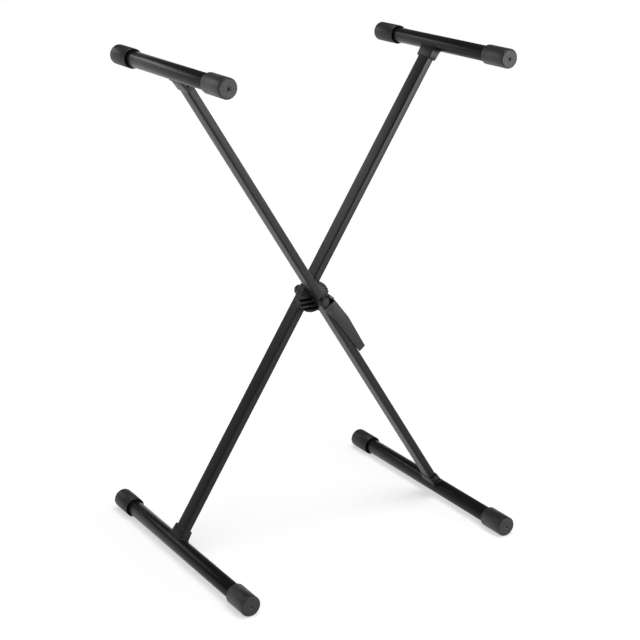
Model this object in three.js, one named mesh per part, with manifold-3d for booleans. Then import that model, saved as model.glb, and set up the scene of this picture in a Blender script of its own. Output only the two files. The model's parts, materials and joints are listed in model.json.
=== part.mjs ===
// Folding keyboard stand: two crossed arms with a cushioned bar at each end, a toothed hub
// at the crossing and a squeeze lever that frees the fold.
// Millimetres, +Z up. The origin is on the floor under the pivot, the pivot runs along Y,
// the feet stand at -X and +X, and the front of the stand (the lever's side) faces -Y.
import * as THREE from "three";
import { mergeVertices } from "three/addons/utils/BufferGeometryUtils.js";
import Module from "manifold-3d";

const wasm = await Module();
wasm.setup();

// ---------------------------------------------------------------- driving sizes

// Fold and arms. Arms are rectangular steel tube, broad side across the fold.
const ARM_LEAN_DEG = 57.5;
const ARM_REACH = 520;
const ARM_BREADTH = 30;
const ARM_THICKNESS = 15;
const ARM_WALL = 1.5;
const ARM_CORNER = 2.8;
const ARM_GAP = 20;

// Bars and their rubber caps.
const TOP_BAR = { diameter: 28, overall: 389, capDiameter: 35, capLength: 58.5 };
const FOOT_BAR = { diameter: 30, overall: 500, capDiameter: 38, capLength: 54 };
const BAR_WALL = 1.5;
const CAP_FACE = 6;
const CAP_EDGE_ROUND = 3;
const CAP_MOUTH_CHAMFER = 1;
const CAP_DIMPLE_DIAMETER = 4;
const CAP_DIMPLE_DEPTH = 2.5;

// Sleeve brackets that join arm and bar. A bolt from the stand's outside holds each one, and
// threads into a nut welded inside the arm.
const BRACKET_LENGTH = 32;
const BRACKET_CHEEK = 4;
const BRACKET_NARROW = 16.8;
const BRACKET_WIDE = 21;
const BRACKET_SADDLE_DEPTH = 7;
const ARM_END_TO_BAR = 2;
const CROSS_BOLT = { diameter: 6, headDiameter: 10.5, headHeight: 3.2, fromBar: 25 };
const CROSS_NUT = { acrossFlats: 10, height: 5 };
const BOLT_OVERRUN = 1;

// Pivot.
const PIVOT_BOLT = { diameter: 10, headDiameter: 19, headHeight: 4.2 };
const PIVOT_WASHER = { diameter: 20, thickness: 1.5 };
const PIVOT_NUT = { acrossFlats: 17, crownDiameter: 16, hexHeight: 6.5, height: 8.5 };
const BUSH_WALL = 1.8;

// Hub: a toothed disc on the rear arm and a ribbed cover on the front arm. The disc's rim is
// plain over the sector that the pawl never reaches.
const HUB_RADIUS = 31;
const TOOTH_COUNT = 36;
const TOOTH_DEPTH = 1.5;
const RATCHET_PLAIN_DEG = { from: 107, to: 208 };
const RATCHET_THICKNESS = 7.7;
const COVER_RADIUS = 30.5;
const COVER_THINNED = 8.3;
const COVER_LEVER_CLEARANCE = 1.5;
const CROWN = { firstDeg: 76, pitchDeg: 12, notches: 13, width: 2.6, depth: 3, innerRadius: 25 };
const RIB_PITCH = 9;
const RIB_THICKNESS = 3.4;
const RIB_DEPTH = 8.5;
const RIB_FIRST_TOP = 5.2;
const RIB_SLOTS = 4;
const RIB_END_FROM_ARM_CENTRE = 6;
const PEG_DIAMETER = 5;
const PEG_LENGTH = 2.6;
const PEG_SPACING = 16;
const COVER_PEG_AT = [-12, -20];

// A tooth's corners: how far below the tip, as a share of its depth, and where in the pitch.
const RATCHET_TOOTH = [
  [1, 0.06],
  [0, 0.22],
  [0, 0.5],
  [1, 0.66],
];
const PAWL_TOOTH = [
  [1, 0],
  [0, 0.25],
  [0, 0.5],
  [1, 0.75],
];
const PAWL_LEAD = 0.2;
const PAWL_LAST_TIP_END = 0.85;

// Squeeze lever: folded sheet steel round the front arm, below the pivot.
const SHEET = 2;
const LEVER_ARM_CLEARANCE = 0.7;
const LEVER_PIN_AT = 24;
const LEVER_PIN_DIAMETER = 6;
const LEVER_START = 12.4;
const LEVER_KINK_AT = 60.3;
const LEVER_END = 133.3;
const LEVER_BACK_AT_START = 19.7;
const LEVER_BACK_AT_KINK = 25;
const LEVER_BACK_AT_END = 23.1;
const LEVER_END_SLANT = 1.5;
const LEVER_FRONT_AT_START = 0.5;
const LEVER_FRONT_AT_PIN = 5.8;
const LEVER_FRONT_AT_MIDDLE = 1.1;
const LEVER_FRONT_AT_END = 7.4;
const LEVER_MIDDLE_AT = 46.5;

// A tab of the lever's outer wall that covers the arm's face above the pin, as [along, across].
const LEVER_TAB = [
  [10.6, -7.8],
  [21, -8.2],
  [30, -4.6],
  [30, 0],
  [12.4, 0],
];

// Pawl on the lever's inner wall.
const PAWL_TOOTH_GAP = 0.35;
const PAWL_TEETH = 3;
const PAWL_FIRST_TOOTH_DEG = 31;
const PAWL_HEAD_LENGTH = 13;
const PAWL_HEAD_CORNER_DEG = 47;
const PAWL_TAIL_AT = 56;
const PAWL_TAIL_DEPTH = 14;
const PAWL_RELIEF = 2;
const PAWL_ARM_CLEARANCE = 0.6;
const PAWL_RIVET = { diameter: 4, headDiameter: 6.5, headHeight: 0.35, headGap: 0.1, shortBy: 0.5 };
const PAWL_RIVETS_AT = [39, 49];

// Return spring between the front arm and the lever's back.
const SPRING = { diameter: 9, wire: 1.3, curls: 5, at: 52, headroom: 0.6 };
const SPRING_BOSS_LENGTH = 3;

// Clearances.
const SEAT = 0.3;
const RUNNING = 0.5;

// How far a cutting tool runs past what it cuts, or a boss into what it stands on.
const OVERCUT = 1;
const MERGE_DISTANCE = 1e-4;

// Facets.
const CAP_SIDES = 32;
const TUBE_SIDES = 32;
const COVER_SIDES = 60;
const PIVOT_SIDES = 24;
const BOLT_SIDES = 16;
const CORNER_STEPS = 3;
const DOME_STEPS = 3;
const CAP_ROUND_STEPS = 4;
const CURL_STEPS = 8;
const CURL_SIDES = 5;

// ---------------------------------------------------------------- derived places

const LEAN = THREE.MathUtils.degToRad(ARM_LEAN_DEG);
const FOOT_SPREAD = ARM_REACH * Math.cos(LEAN);
const RISE = ARM_REACH * Math.sin(LEAN);
const PIVOT_HEIGHT = FOOT_BAR.capDiameter / 2 + RISE;
const ARM_CENTRE_Y = (ARM_GAP + ARM_BREADTH) / 2;
const ARM_OUTER_Y = ARM_CENTRE_Y + ARM_BREADTH / 2;
const ARM_INNER_Y = ARM_GAP / 2;
const HALF_THICKNESS = ARM_THICKNESS / 2;

const BRACKET_HALF_BREADTH = ARM_BREADTH / 2 + SEAT + BRACKET_CHEEK;
const CROSS_HOLE_AT = ARM_REACH - CROSS_BOLT.fromBar;
const CROSS_NUT_SEAT = ARM_BREADTH / 2 - ARM_WALL - SEAT;
const PIVOT_HOLE_RADIUS = PIVOT_BOLT.diameter / 2 + SEAT;
const BUSH_OUTER_RADIUS = PIVOT_HOLE_RADIUS + BUSH_WALL;

const RATCHET_FAR_Y = ARM_INNER_Y - SEAT;
const RATCHET_NEAR_Y = RATCHET_FAR_Y - RATCHET_THICKNESS;
const COVER_FAR_Y = RATCHET_NEAR_Y - RUNNING;
const COVER_THINNED_Y = COVER_FAR_Y - COVER_THINNED;
const COVER_NEAR_Y = -ARM_INNER_Y + SEAT;

const LEVER_NEAR_Y = -ARM_OUTER_Y - LEVER_ARM_CLEARANCE - SHEET;
const LEVER_FAR_Y = -ARM_INNER_Y + LEVER_ARM_CLEARANCE + SHEET;
const PAWL_NEAR_Y = LEVER_FAR_Y + SEAT;
const PAWL_FAR_Y = ARM_INNER_Y - PAWL_ARM_CLEARANCE;

// ---------------------------------------------------------------- finishes

const paint = (name) =>
  new THREE.MeshStandardMaterial({ name, color: 0x1b1c1e, roughness: 0.38, metalness: 0.3 });
const rubber = () =>
  new THREE.MeshStandardMaterial({ name: "cap_rubber", color: 0x2a2a2b, roughness: 0.75, metalness: 0 });
const moulding = () =>
  new THREE.MeshStandardMaterial({ name: "moulded_nylon", color: 0x1c1c1d, roughness: 0.6, metalness: 0 });
const darkSteel = () =>
  new THREE.MeshStandardMaterial({ name: "dark_steel", color: 0x3a3b3d, roughness: 0.4, metalness: 0.9 });
const springSteel = () =>
  new THREE.MeshStandardMaterial({ name: "spring_steel", color: 0x77787a, roughness: 0.35, metalness: 1 });
const paleNylon = () =>
  new THREE.MeshStandardMaterial({ name: "pale_nylon", color: 0xb9b6ac, roughness: 0.6, metalness: 0 });

// ---------------------------------------------------------------- solid tools

// A closed geometry as a solid for joining and cutting.
function solidOf(geometry) {
  const bare = geometry.clone();
  bare.deleteAttribute("normal");
  bare.deleteAttribute("uv");
  const merged = mergeVertices(bare, MERGE_DISTANCE);
  const corners = merged.index.array;
  const kept = [];
  for (let i = 0; i < corners.length; i += 3) {
    const [a, b, c] = [corners[i], corners[i + 1], corners[i + 2]];
    if (a !== b && b !== c && c !== a) kept.push(a, b, c);
  }
  return new wasm.Manifold(
    new wasm.Mesh({
      numProp: 3,
      vertProperties: new Float32Array(merged.attributes.position.array),
      triVerts: new Uint32Array(kept),
    }),
  );
}

function geometryOf(solid) {
  const mesh = solid.getMesh();
  const geometry = new THREE.BufferGeometry();
  const points = new Float32Array(mesh.numVert * 3);
  for (let i = 0; i < mesh.numVert; i++) {
    const from = i * mesh.numProp;
    points.set(mesh.vertProperties.subarray(from, from + 3), i * 3);
  }
  geometry.setAttribute("position", new THREE.BufferAttribute(points, 3));
  geometry.setIndex(new THREE.BufferAttribute(mesh.triVerts, 1));
  geometry.computeVertexNormals();
  return geometry;
}

// A solid turned about the Y axis from a counter-clockwise outline of [radius, y] points.
// A facet, and not an edge, faces straight up and down.
function turned(outline, sides) {
  const points = outline.map(([radius, y]) => new THREE.Vector2(radius / Math.cos(Math.PI / sides), y));
  return solidOf(new THREE.LatheGeometry(points, sides, Math.PI / sides));
}

function rod(radius, y0, y1, sides, x = 0, z = 0) {
  const outline = [
    [0, y0],
    [radius, y0],
    [radius, y1],
    [0, y1],
  ];
  return turned(outline, sides).translate([x, 0, z]);
}

function pipe(inner, outer, y0, y1, sides) {
  const outline = [
    [inner, y0],
    [outer, y0],
    [outer, y1],
    [inner, y1],
    [inner, y0],
  ];
  return turned(outline, sides);
}

// A flat outline of [x, z] points, given thickness along Y.
function plate(outline, y0, y1) {
  const shape = new THREE.Shape(outline.map(([x, z]) => new THREE.Vector2(x, z)));
  const geometry = new THREE.ExtrudeGeometry(shape, { depth: y1 - y0, bevelEnabled: false });
  geometry.rotateX(Math.PI / 2);
  geometry.translate(0, y1, 0);
  return solidOf(geometry);
}

function block(x0, x1, y0, y1, z0, z1) {
  const geometry = new THREE.BoxGeometry(x1 - x0, y1 - y0, z1 - z0);
  geometry.translate((x0 + x1) / 2, (y0 + y1) / 2, (z0 + z1) / 2);
  return solidOf(geometry);
}

// A bar of rounded rectangular section along X, centred on y.
function roundedBar(x0, x1, y, breadth, thickness, corner) {
  const [w, h, r] = [breadth / 2, thickness / 2, corner];
  const shape = new THREE.Shape();
  shape.moveTo(-w + r, -h);
  shape.lineTo(w - r, -h);
  shape.absarc(w - r, -h + r, r, -Math.PI / 2, 0);
  shape.lineTo(w, h - r);
  shape.absarc(w - r, h - r, r, 0, Math.PI / 2);
  shape.lineTo(-w + r, h);
  shape.absarc(-w + r, h - r, r, Math.PI / 2, Math.PI);
  shape.lineTo(-w, -h + r);
  shape.absarc(-w + r, -h + r, r, Math.PI, 1.5 * Math.PI);
  const geometry = new THREE.ExtrudeGeometry(shape, {
    depth: x1 - x0,
    bevelEnabled: false,
    curveSegments: CORNER_STEPS,
  });
  geometry.rotateX(Math.PI / 2);
  geometry.rotateZ(Math.PI / 2);
  geometry.translate(x0, y, 0);
  return solidOf(geometry);
}

function hexPrism(acrossFlats, y0, y1) {
  return rod(acrossFlats / 2, y0, y1, 6);
}

// Outline points of a domed head from its top, at -Y, to the rim that sits at -seat.
function domedHead(diameter, height, seat) {
  const steps = Array.from({ length: DOME_STEPS + 1 }, (_, step) => step / DOME_STEPS);
  return steps.map((share) => {
    const angle = (share * Math.PI) / 2;
    return [(diameter / 2) * Math.sin(angle), -seat - height * Math.cos(angle)];
  });
}

// A drill through the outer wall of an arm or its bracket, from the arm's middle outwards.
// side is +1 on the rear arm and -1 on the front arm.
function outwardDrill(radius, side, x) {
  const middle = side * ARM_CENTRE_Y;
  const outside = side * (ARM_CENTRE_Y + BRACKET_HALF_BREADTH + OVERCUT);
  return rod(radius, Math.min(middle, outside), Math.max(middle, outside), BOLT_SIDES, x);
}

// ---------------------------------------------------------------- pieces of the frames

// An arm along X. side is +1 on the rear arm and -1 on the front arm.
function armTube(side, extraHoles) {
  const y = side * ARM_CENTRE_Y;
  const end = (barDiameter) => ARM_REACH - barDiameter / 2 - ARM_END_TO_BAR;
  const [topEnd, footEnd] = [end(TOP_BAR.diameter), end(FOOT_BAR.diameter)];
  const [low, high] = side > 0 ? [-footEnd, topEnd] : [-topEnd, footEnd];
  const core = roundedBar(
    low - OVERCUT,
    high + OVERCUT,
    y,
    ARM_BREADTH - 2 * ARM_WALL,
    ARM_THICKNESS - 2 * ARM_WALL,
    ARM_CORNER - ARM_WALL,
  );
  let tube = roundedBar(low, high, y, ARM_BREADTH, ARM_THICKNESS, ARM_CORNER).subtract(core);
  for (const x of [-CROSS_HOLE_AT, CROSS_HOLE_AT])
    tube = tube.subtract(outwardDrill(CROSS_BOLT.diameter / 2 + SEAT, side, x));
  for (const { radius, x, y0, y1 } of extraHoles)
    tube = tube.subtract(rod(radius, y0, y1, BOLT_SIDES, x));
  return tube;
}

function rearArm() {
  const [inside, middle, outside] = [ARM_INNER_Y - OVERCUT, ARM_CENTRE_Y, ARM_OUTER_Y + OVERCUT];
  const peg = { radius: PEG_DIAMETER / 2 + SEAT, y0: inside, y1: middle };
  return armTube(1, [
    { radius: PIVOT_HOLE_RADIUS, x: 0, y0: inside, y1: outside },
    { ...peg, x: -PEG_SPACING },
    { ...peg, x: PEG_SPACING },
  ]);
}

function frontArm() {
  const [outside, middle, inside] = [-ARM_OUTER_Y - OVERCUT, -ARM_CENTRE_Y, -ARM_INNER_Y + OVERCUT];
  const pegs = COVER_PEG_AT.map((x) => ({ radius: PEG_DIAMETER / 2 + SEAT, x, y0: middle, y1: inside }));
  return armTube(-1, [
    { radius: BUSH_OUTER_RADIUS + SEAT, x: 0, y0: outside, y1: inside },
    { radius: LEVER_PIN_DIAMETER / 2 + SEAT, x: LEVER_PIN_AT, y0: outside, y1: inside },
    ...pegs,
  ]);
}

function barTube(bar) {
  const half = bar.overall / 2 - CAP_FACE - SEAT;
  return pipe(bar.diameter / 2 - BAR_WALL, bar.diameter / 2, -half, half, TUBE_SIDES);
}

// A rubber cap whose outer face looks along +Y at the bar's end.
function cap(bar) {
  const outer = bar.capDiameter / 2;
  const bore = bar.diameter / 2 + SEAT;
  const face = bar.overall / 2;
  const mouth = face - bar.capLength;
  const roundPoints = Array.from({ length: CAP_ROUND_STEPS }, (_, step) => {
    const angle = ((step + 1) / CAP_ROUND_STEPS) * (Math.PI / 2);
    return [
      outer - CAP_EDGE_ROUND * (1 - Math.cos(angle)),
      face - CAP_EDGE_ROUND * (1 - Math.sin(angle)),
    ];
  });
  const outline = [
    [0, face - CAP_FACE],
    [bore, face - CAP_FACE],
    [bore, mouth],
    [outer - CAP_MOUTH_CHAMFER, mouth],
    [outer, mouth + CAP_MOUTH_CHAMFER],
    [outer, face - CAP_EDGE_ROUND],
    ...roundPoints,
    [CAP_DIMPLE_DIAMETER / 2, face],
    [CAP_DIMPLE_DIAMETER / 2, face - CAP_DIMPLE_DEPTH],
    [0, face - CAP_DIMPLE_DEPTH],
  ];
  return turned(outline, CAP_SIDES);
}

// A sleeve over the arm's end at +X, its saddle cut to the bar.
function bracket(bar, side) {
  const y = side * ARM_CENTRE_Y;
  const [near, far] = [y - BRACKET_HALF_BREADTH, y + BRACKET_HALF_BREADTH];
  const start = ARM_REACH - BRACKET_LENGTH;
  const saddle = ARM_REACH - bar.diameter / 2 + BRACKET_SADDLE_DEPTH;
  const outline = [
    [start, -BRACKET_NARROW / 2],
    [saddle, -BRACKET_WIDE / 2],
    [saddle, BRACKET_WIDE / 2],
    [start, BRACKET_NARROW / 2],
  ];
  const armSpace = roundedBar(
    start - OVERCUT,
    ARM_REACH,
    y,
    ARM_BREADTH + 2 * SEAT,
    ARM_THICKNESS + 2 * SEAT,
    ARM_CORNER,
  );
  const barRadius = bar.diameter / 2 + SEAT;
  const barSpace = rod(barRadius, near - OVERCUT, far + OVERCUT, TUBE_SIDES, ARM_REACH);
  return plate(outline, near, far)
    .subtract(armSpace)
    .subtract(barSpace)
    .subtract(outwardDrill(CROSS_BOLT.diameter / 2 + SEAT, side, CROSS_HOLE_AT));
}

// A bracket's bolt about the arm's middle, its domed head outside, at -Y.
function crossBolt() {
  const seat = BRACKET_HALF_BREADTH + SEAT;
  const shank = CROSS_BOLT.diameter / 2;
  const tip = -CROSS_NUT_SEAT + CROSS_NUT.height + BOLT_OVERRUN;
  const head = domedHead(CROSS_BOLT.headDiameter, CROSS_BOLT.headHeight, seat);
  return turned([...head, [shank, -seat], [shank, tip], [0, tip]], BOLT_SIDES);
}

// The nut inside the arm's outer wall.
function crossNut() {
  const [start, end] = [-CROSS_NUT_SEAT, -CROSS_NUT_SEAT + CROSS_NUT.height];
  const bore = rod(CROSS_BOLT.diameter / 2 + SEAT, start - OVERCUT, end + OVERCUT, BOLT_SIDES);
  return hexPrism(CROSS_NUT.acrossFlats, start, end).subtract(bore);
}

// ---------------------------------------------------------------- pieces of the pivot

function pivotBolt() {
  const shank = PIVOT_BOLT.diameter / 2;
  const seat = ARM_OUTER_Y + 2 * SEAT + PIVOT_WASHER.thickness;
  const tip = seat + SEAT + PIVOT_NUT.height;
  const head = domedHead(PIVOT_BOLT.headDiameter, PIVOT_BOLT.headHeight, seat);
  return turned([...head, [shank, -seat], [shank, tip], [0, tip]], PIVOT_SIDES);
}

function pivotWasher(side) {
  const near = side * (ARM_OUTER_Y + SEAT);
  const far = side * (ARM_OUTER_Y + SEAT + PIVOT_WASHER.thickness);
  const [y0, y1] = [Math.min(near, far), Math.max(near, far)];
  return pipe(PIVOT_HOLE_RADIUS, PIVOT_WASHER.diameter / 2, y0, y1, PIVOT_SIDES);
}

function pivotNut() {
  const start = ARM_OUTER_Y + 2 * SEAT + PIVOT_WASHER.thickness + SEAT;
  const end = start + PIVOT_NUT.height;
  const crown = rod(PIVOT_NUT.crownDiameter / 2, start, end, PIVOT_SIDES);
  const hex = hexPrism(PIVOT_NUT.acrossFlats, start, start + PIVOT_NUT.hexHeight);
  const bore = rod(PIVOT_HOLE_RADIUS, start - OVERCUT, end + OVERCUT, PIVOT_SIDES);
  return hex.add(crown).subtract(bore);
}

function pivotBush() {
  return pipe(PIVOT_HOLE_RADIUS, BUSH_OUTER_RADIUS, -ARM_OUTER_Y, -ARM_INNER_Y, PIVOT_SIDES);
}

// The disc's outline: teeth all round, but for the plain sector.
function ratchetOutline() {
  const outline = [];
  const pitch = 360 / TOOTH_COUNT;
  for (let tooth = 0; tooth < TOOTH_COUNT; tooth++) {
    const start = tooth * pitch;
    const plain = start > RATCHET_PLAIN_DEG.from && start < RATCHET_PLAIN_DEG.to;
    for (const [below, share] of RATCHET_TOOTH) {
      const radius = plain ? HUB_RADIUS : HUB_RADIUS - below * TOOTH_DEPTH;
      const angle = THREE.MathUtils.degToRad(start + share * pitch);
      outline.push([radius * Math.cos(angle), radius * Math.sin(angle)]);
    }
  }
  return outline;
}

function ratchetDisc() {
  const bore = rod(PIVOT_HOLE_RADIUS, RATCHET_NEAR_Y - OVERCUT, RATCHET_FAR_Y + OVERCUT, PIVOT_SIDES);
  let disc = plate(ratchetOutline(), RATCHET_NEAR_Y, RATCHET_FAR_Y).subtract(bore);
  const [root, end] = [RATCHET_FAR_Y - OVERCUT, RATCHET_FAR_Y + PEG_LENGTH];
  for (const x of [-PEG_SPACING, PEG_SPACING])
    disc = disc.add(rod(PEG_DIAMETER / 2, root, end, BOLT_SIDES, x));
  return disc;
}

// The ribbed cover, in the front arm's frame. It is thinner where the lever's inner wall
// passes. Its face has a crown of notches above, and below it ribs that lie level when the
// arm leans as it does here.
function hubCover() {
  const size = 2 * COVER_RADIUS;
  const before = COVER_NEAR_Y - OVERCUT;
  const leverSpace = block(
    LEVER_START - COVER_LEVER_CLEARANCE,
    size,
    before,
    COVER_THINNED_Y,
    -LEVER_FRONT_AT_PIN - COVER_LEVER_CLEARANCE,
    size,
  );
  let cover = rod(COVER_RADIUS, COVER_NEAR_Y, COVER_FAR_Y, COVER_SIDES).subtract(leverSpace);

  const [notchFloor, halfWidth] = [COVER_NEAR_Y + CROWN.depth, CROWN.width / 2];
  const notch = block(CROWN.innerRadius, size, before, notchFloor, -halfWidth, halfWidth);
  for (let i = 0; i < CROWN.notches; i++)
    cover = cover.subtract(notch.rotate([0, -CROWN.firstDeg - i * CROWN.pitchDeg, 0]));

  const ribFloor = COVER_NEAR_Y + RIB_DEPTH;
  const besideArm = block(-size, size, before, COVER_FAR_Y, -size, -RIB_END_FROM_ARM_CENTRE);
  for (let slot = 0; slot < RIB_SLOTS; slot++) {
    const top = RIB_FIRST_TOP - RIB_THICKNESS - slot * RIB_PITCH;
    const bottom = top + RIB_THICKNESS - RIB_PITCH;
    const level = block(-size, size, before, ribFloor, bottom, top);
    cover = cover.subtract(level.rotate([0, -ARM_LEAN_DEG, 0]).intersect(besideArm));
  }

  const [root, end] = [COVER_NEAR_Y + OVERCUT, COVER_NEAR_Y - PEG_LENGTH];
  for (const x of COVER_PEG_AT)
    cover = cover.add(rod(PEG_DIAMETER / 2, end, root, BOLT_SIDES, x));
  return cover.subtract(rod(PIVOT_HOLE_RADIUS, before, COVER_FAR_Y + OVERCUT, PIVOT_SIDES));
}

// ---------------------------------------------------------------- pieces of the lever

// How far the lever's back stands off the arm's centre line at x.
function leverBack(x) {
  if (x < LEVER_KINK_AT) {
    const share = (x - LEVER_START) / (LEVER_KINK_AT - LEVER_START);
    return LEVER_BACK_AT_START + share * (LEVER_BACK_AT_KINK - LEVER_BACK_AT_START);
  }
  const share = (x - LEVER_KINK_AT) / (LEVER_END - LEVER_KINK_AT);
  return LEVER_BACK_AT_KINK + share * (LEVER_BACK_AT_END - LEVER_BACK_AT_KINK);
}

function triggerLever() {
  const outside = [
    [LEVER_START, -LEVER_FRONT_AT_START],
    [LEVER_PIN_AT, -LEVER_FRONT_AT_PIN],
    [LEVER_MIDDLE_AT, -LEVER_FRONT_AT_MIDDLE],
    [LEVER_END + LEVER_END_SLANT, LEVER_FRONT_AT_END],
    [LEVER_END, LEVER_BACK_AT_END],
    [LEVER_KINK_AT, LEVER_BACK_AT_KINK],
    [LEVER_START, LEVER_BACK_AT_START],
  ];
  const far = ARM_REACH;
  const inside = [
    [-far, -far],
    [far, -far],
    [far, LEVER_BACK_AT_END - SHEET],
    [LEVER_END, LEVER_BACK_AT_END - SHEET],
    [LEVER_KINK_AT, LEVER_BACK_AT_KINK - SHEET],
    [LEVER_START, LEVER_BACK_AT_START - SHEET],
    [-far, LEVER_BACK_AT_START - SHEET],
  ];
  const channel = plate(inside, LEVER_NEAR_Y + SHEET, LEVER_FAR_Y - SHEET);
  const pinHole = rod(
    LEVER_PIN_DIAMETER / 2 + SEAT,
    LEVER_NEAR_Y - OVERCUT,
    LEVER_FAR_Y + OVERCUT,
    BOLT_SIDES,
    LEVER_PIN_AT,
  );
  let lever = plate(outside, LEVER_NEAR_Y, LEVER_FAR_Y)
    .subtract(channel)
    .add(plate(LEVER_TAB, LEVER_NEAR_Y, LEVER_NEAR_Y + SHEET))
    .subtract(pinHole);
  const rivetHole = PAWL_RIVET.diameter / 2 + SEAT;
  const [wallNear, wallFar] = [LEVER_FAR_Y - SHEET - OVERCUT, LEVER_FAR_Y + OVERCUT];
  for (const x of PAWL_RIVETS_AT)
    lever = lever.subtract(rod(rivetHole, wallNear, wallFar, BOLT_SIDES, x, pawlRivetHeight(x)));
  const bossRadius = SPRING.diameter / 2 - SPRING.wire - SEAT;
  const boss = rod(bossRadius, -SPRING_BOSS_LENGTH, OVERCUT, BOLT_SIDES)
    .rotate([90, 0, 0])
    .translate([SPRING.at, -ARM_CENTRE_Y, leverBack(SPRING.at) - SHEET]);
  return lever.add(boss);
}

// The lever's pin, flush with both of its walls.
function leverPin() {
  return rod(LEVER_PIN_DIAMETER / 2, LEVER_NEAR_Y, LEVER_FAR_Y, BOLT_SIDES, LEVER_PIN_AT);
}

// The pawl's rivets lie on a line half way up its tail.
function pawlRivetHeight(x) {
  return leverBack(x) - SHEET - PAWL_TAIL_DEPTH / 2;
}

// The pawl's head follows the disc's rim with teeth that face its teeth.
function pawl() {
  const toothTip = HUB_RADIUS + PAWL_TOOTH_GAP;
  const relief = toothTip + PAWL_RELIEF;
  const pitch = 360 / TOOTH_COUNT;
  const at = (radius, degrees) => {
    const angle = THREE.MathUtils.degToRad(degrees);
    return [radius * Math.cos(angle), radius * Math.sin(angle)];
  };
  const outline = [
    at(relief, PAWL_FIRST_TOOTH_DEG - pitch),
    at(relief, PAWL_FIRST_TOOTH_DEG - PAWL_LEAD * pitch),
  ];
  for (let tooth = 0; tooth < PAWL_TEETH; tooth++) {
    const start = PAWL_FIRST_TOOTH_DEG + tooth * pitch;
    const whole = tooth < PAWL_TEETH - 1;
    for (const [below, share] of whole ? PAWL_TOOTH : PAWL_TOOTH.slice(0, 2))
      outline.push(at(toothTip + below * TOOTH_DEPTH, start + share * pitch));
  }
  const backOfTail = leverBack(PAWL_TAIL_AT) - SHEET;
  const lastTipEnd = PAWL_TEETH - 1 + PAWL_LAST_TIP_END;
  outline.push(at(toothTip, PAWL_FIRST_TOOTH_DEG + lastTipEnd * pitch));
  outline.push(at(HUB_RADIUS + PAWL_HEAD_LENGTH, PAWL_HEAD_CORNER_DEG));
  outline.push([PAWL_TAIL_AT, backOfTail]);
  outline.push([PAWL_TAIL_AT, backOfTail - PAWL_TAIL_DEPTH]);
  let toothed = plate(outline, PAWL_NEAR_Y, PAWL_FAR_Y);
  const radius = PAWL_RIVET.diameter / 2 + SEAT;
  const [near, far] = [PAWL_NEAR_Y - OVERCUT, PAWL_FAR_Y + OVERCUT];
  for (const x of PAWL_RIVETS_AT)
    toothed = toothed.subtract(rod(radius, near, far, BOLT_SIDES, x, pawlRivetHeight(x)));
  return toothed;
}

// A rivet through the pawl and the lever's inner wall, with a thin head at each end.
function pawlRivet(x) {
  const [shank, head] = [PAWL_RIVET.diameter / 2, PAWL_RIVET.headDiameter / 2];
  const near = LEVER_FAR_Y - SHEET - PAWL_RIVET.headGap;
  const far = PAWL_FAR_Y - PAWL_RIVET.shortBy;
  const outline = [
    [0, near - PAWL_RIVET.headHeight],
    [head, near - PAWL_RIVET.headHeight],
    [head, near],
    [shank, near],
    [shank, far],
    [0, far],
  ];
  return turned(outline, BOLT_SIDES).translate([x, 0, pawlRivetHeight(x)]);
}

// Where the spring's wire starts and ends between the arm's side and the lever's back.
function springSpan() {
  const wire = SPRING.wire / 2;
  const low = HALF_THICKNESS + SEAT + wire;
  const high = leverBack(SPRING.at) - SHEET - SEAT - wire - SPRING.headroom;
  return [low, high];
}

// The spring's wire follows a helix from the arm's side up to the lever's back.
function returnSpring() {
  const wire = SPRING.wire / 2;
  const radius = SPRING.diameter / 2 - wire;
  const [low, high] = springSpan();
  const rings = SPRING.curls * CURL_STEPS + 1;
  const positions = [];
  const corners = [];
  for (let ring = 0; ring < rings; ring++) {
    const angle = (ring / CURL_STEPS) * 2 * Math.PI;
    const climb = low + ((high - low) * ring) / (rings - 1);
    for (let side = 0; side < CURL_SIDES; side++) {
      const turn = (side / CURL_SIDES) * 2 * Math.PI;
      const r = radius + wire * Math.cos(turn);
      positions.push(r * Math.cos(angle), r * Math.sin(angle), climb + wire * Math.sin(turn));
    }
  }
  for (let ring = 0; ring < rings - 1; ring++)
    for (let side = 0; side < CURL_SIDES; side++) {
      const next = (side + 1) % CURL_SIDES;
      const [a, b] = [ring * CURL_SIDES + side, ring * CURL_SIDES + next];
      const [c, d] = [a + CURL_SIDES, b + CURL_SIDES];
      corners.push(a, c, b, b, c, d);
    }
  for (let side = 1; side < CURL_SIDES - 1; side++) {
    const start = (rings - 1) * CURL_SIDES;
    corners.push(0, side, side + 1);
    corners.push(start, start + side + 1, start + side);
  }
  const geometry = new THREE.BufferGeometry();
  geometry.setAttribute("position", new THREE.Float32BufferAttribute(positions, 3));
  geometry.setIndex(corners);
  geometry.translate(SPRING.at, -ARM_CENTRE_Y, 0);
  return solidOf(geometry);
}

// The spring's least gap to itself, between points of curls a whole turn apart.
function springGap() {
  const [low, high] = springSpan();
  return (high - low) / SPRING.curls - SPRING.wire;
}

// ---------------------------------------------------------------- assembly

function named(name, solid, material) {
  const mesh = new THREE.Mesh(geometryOf(solid), material);
  mesh.name = name;
  return mesh;
}

// A group whose +X runs along an arm, centred on the pivot.
function armGroup(lean) {
  const group = new THREE.Group();
  group.position.set(0, 0, PIVOT_HEIGHT);
  group.rotation.y = lean;
  return group;
}

const stand = new THREE.Group();
const rear = armGroup(-LEAN);
const front = armGroup(LEAN);
stand.add(rear, front);

rear.add(named("rear_arm_tube", rearArm(), paint("arm_paint")));
front.add(named("front_arm_tube", frontArm(), paint("arm_paint")));

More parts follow.
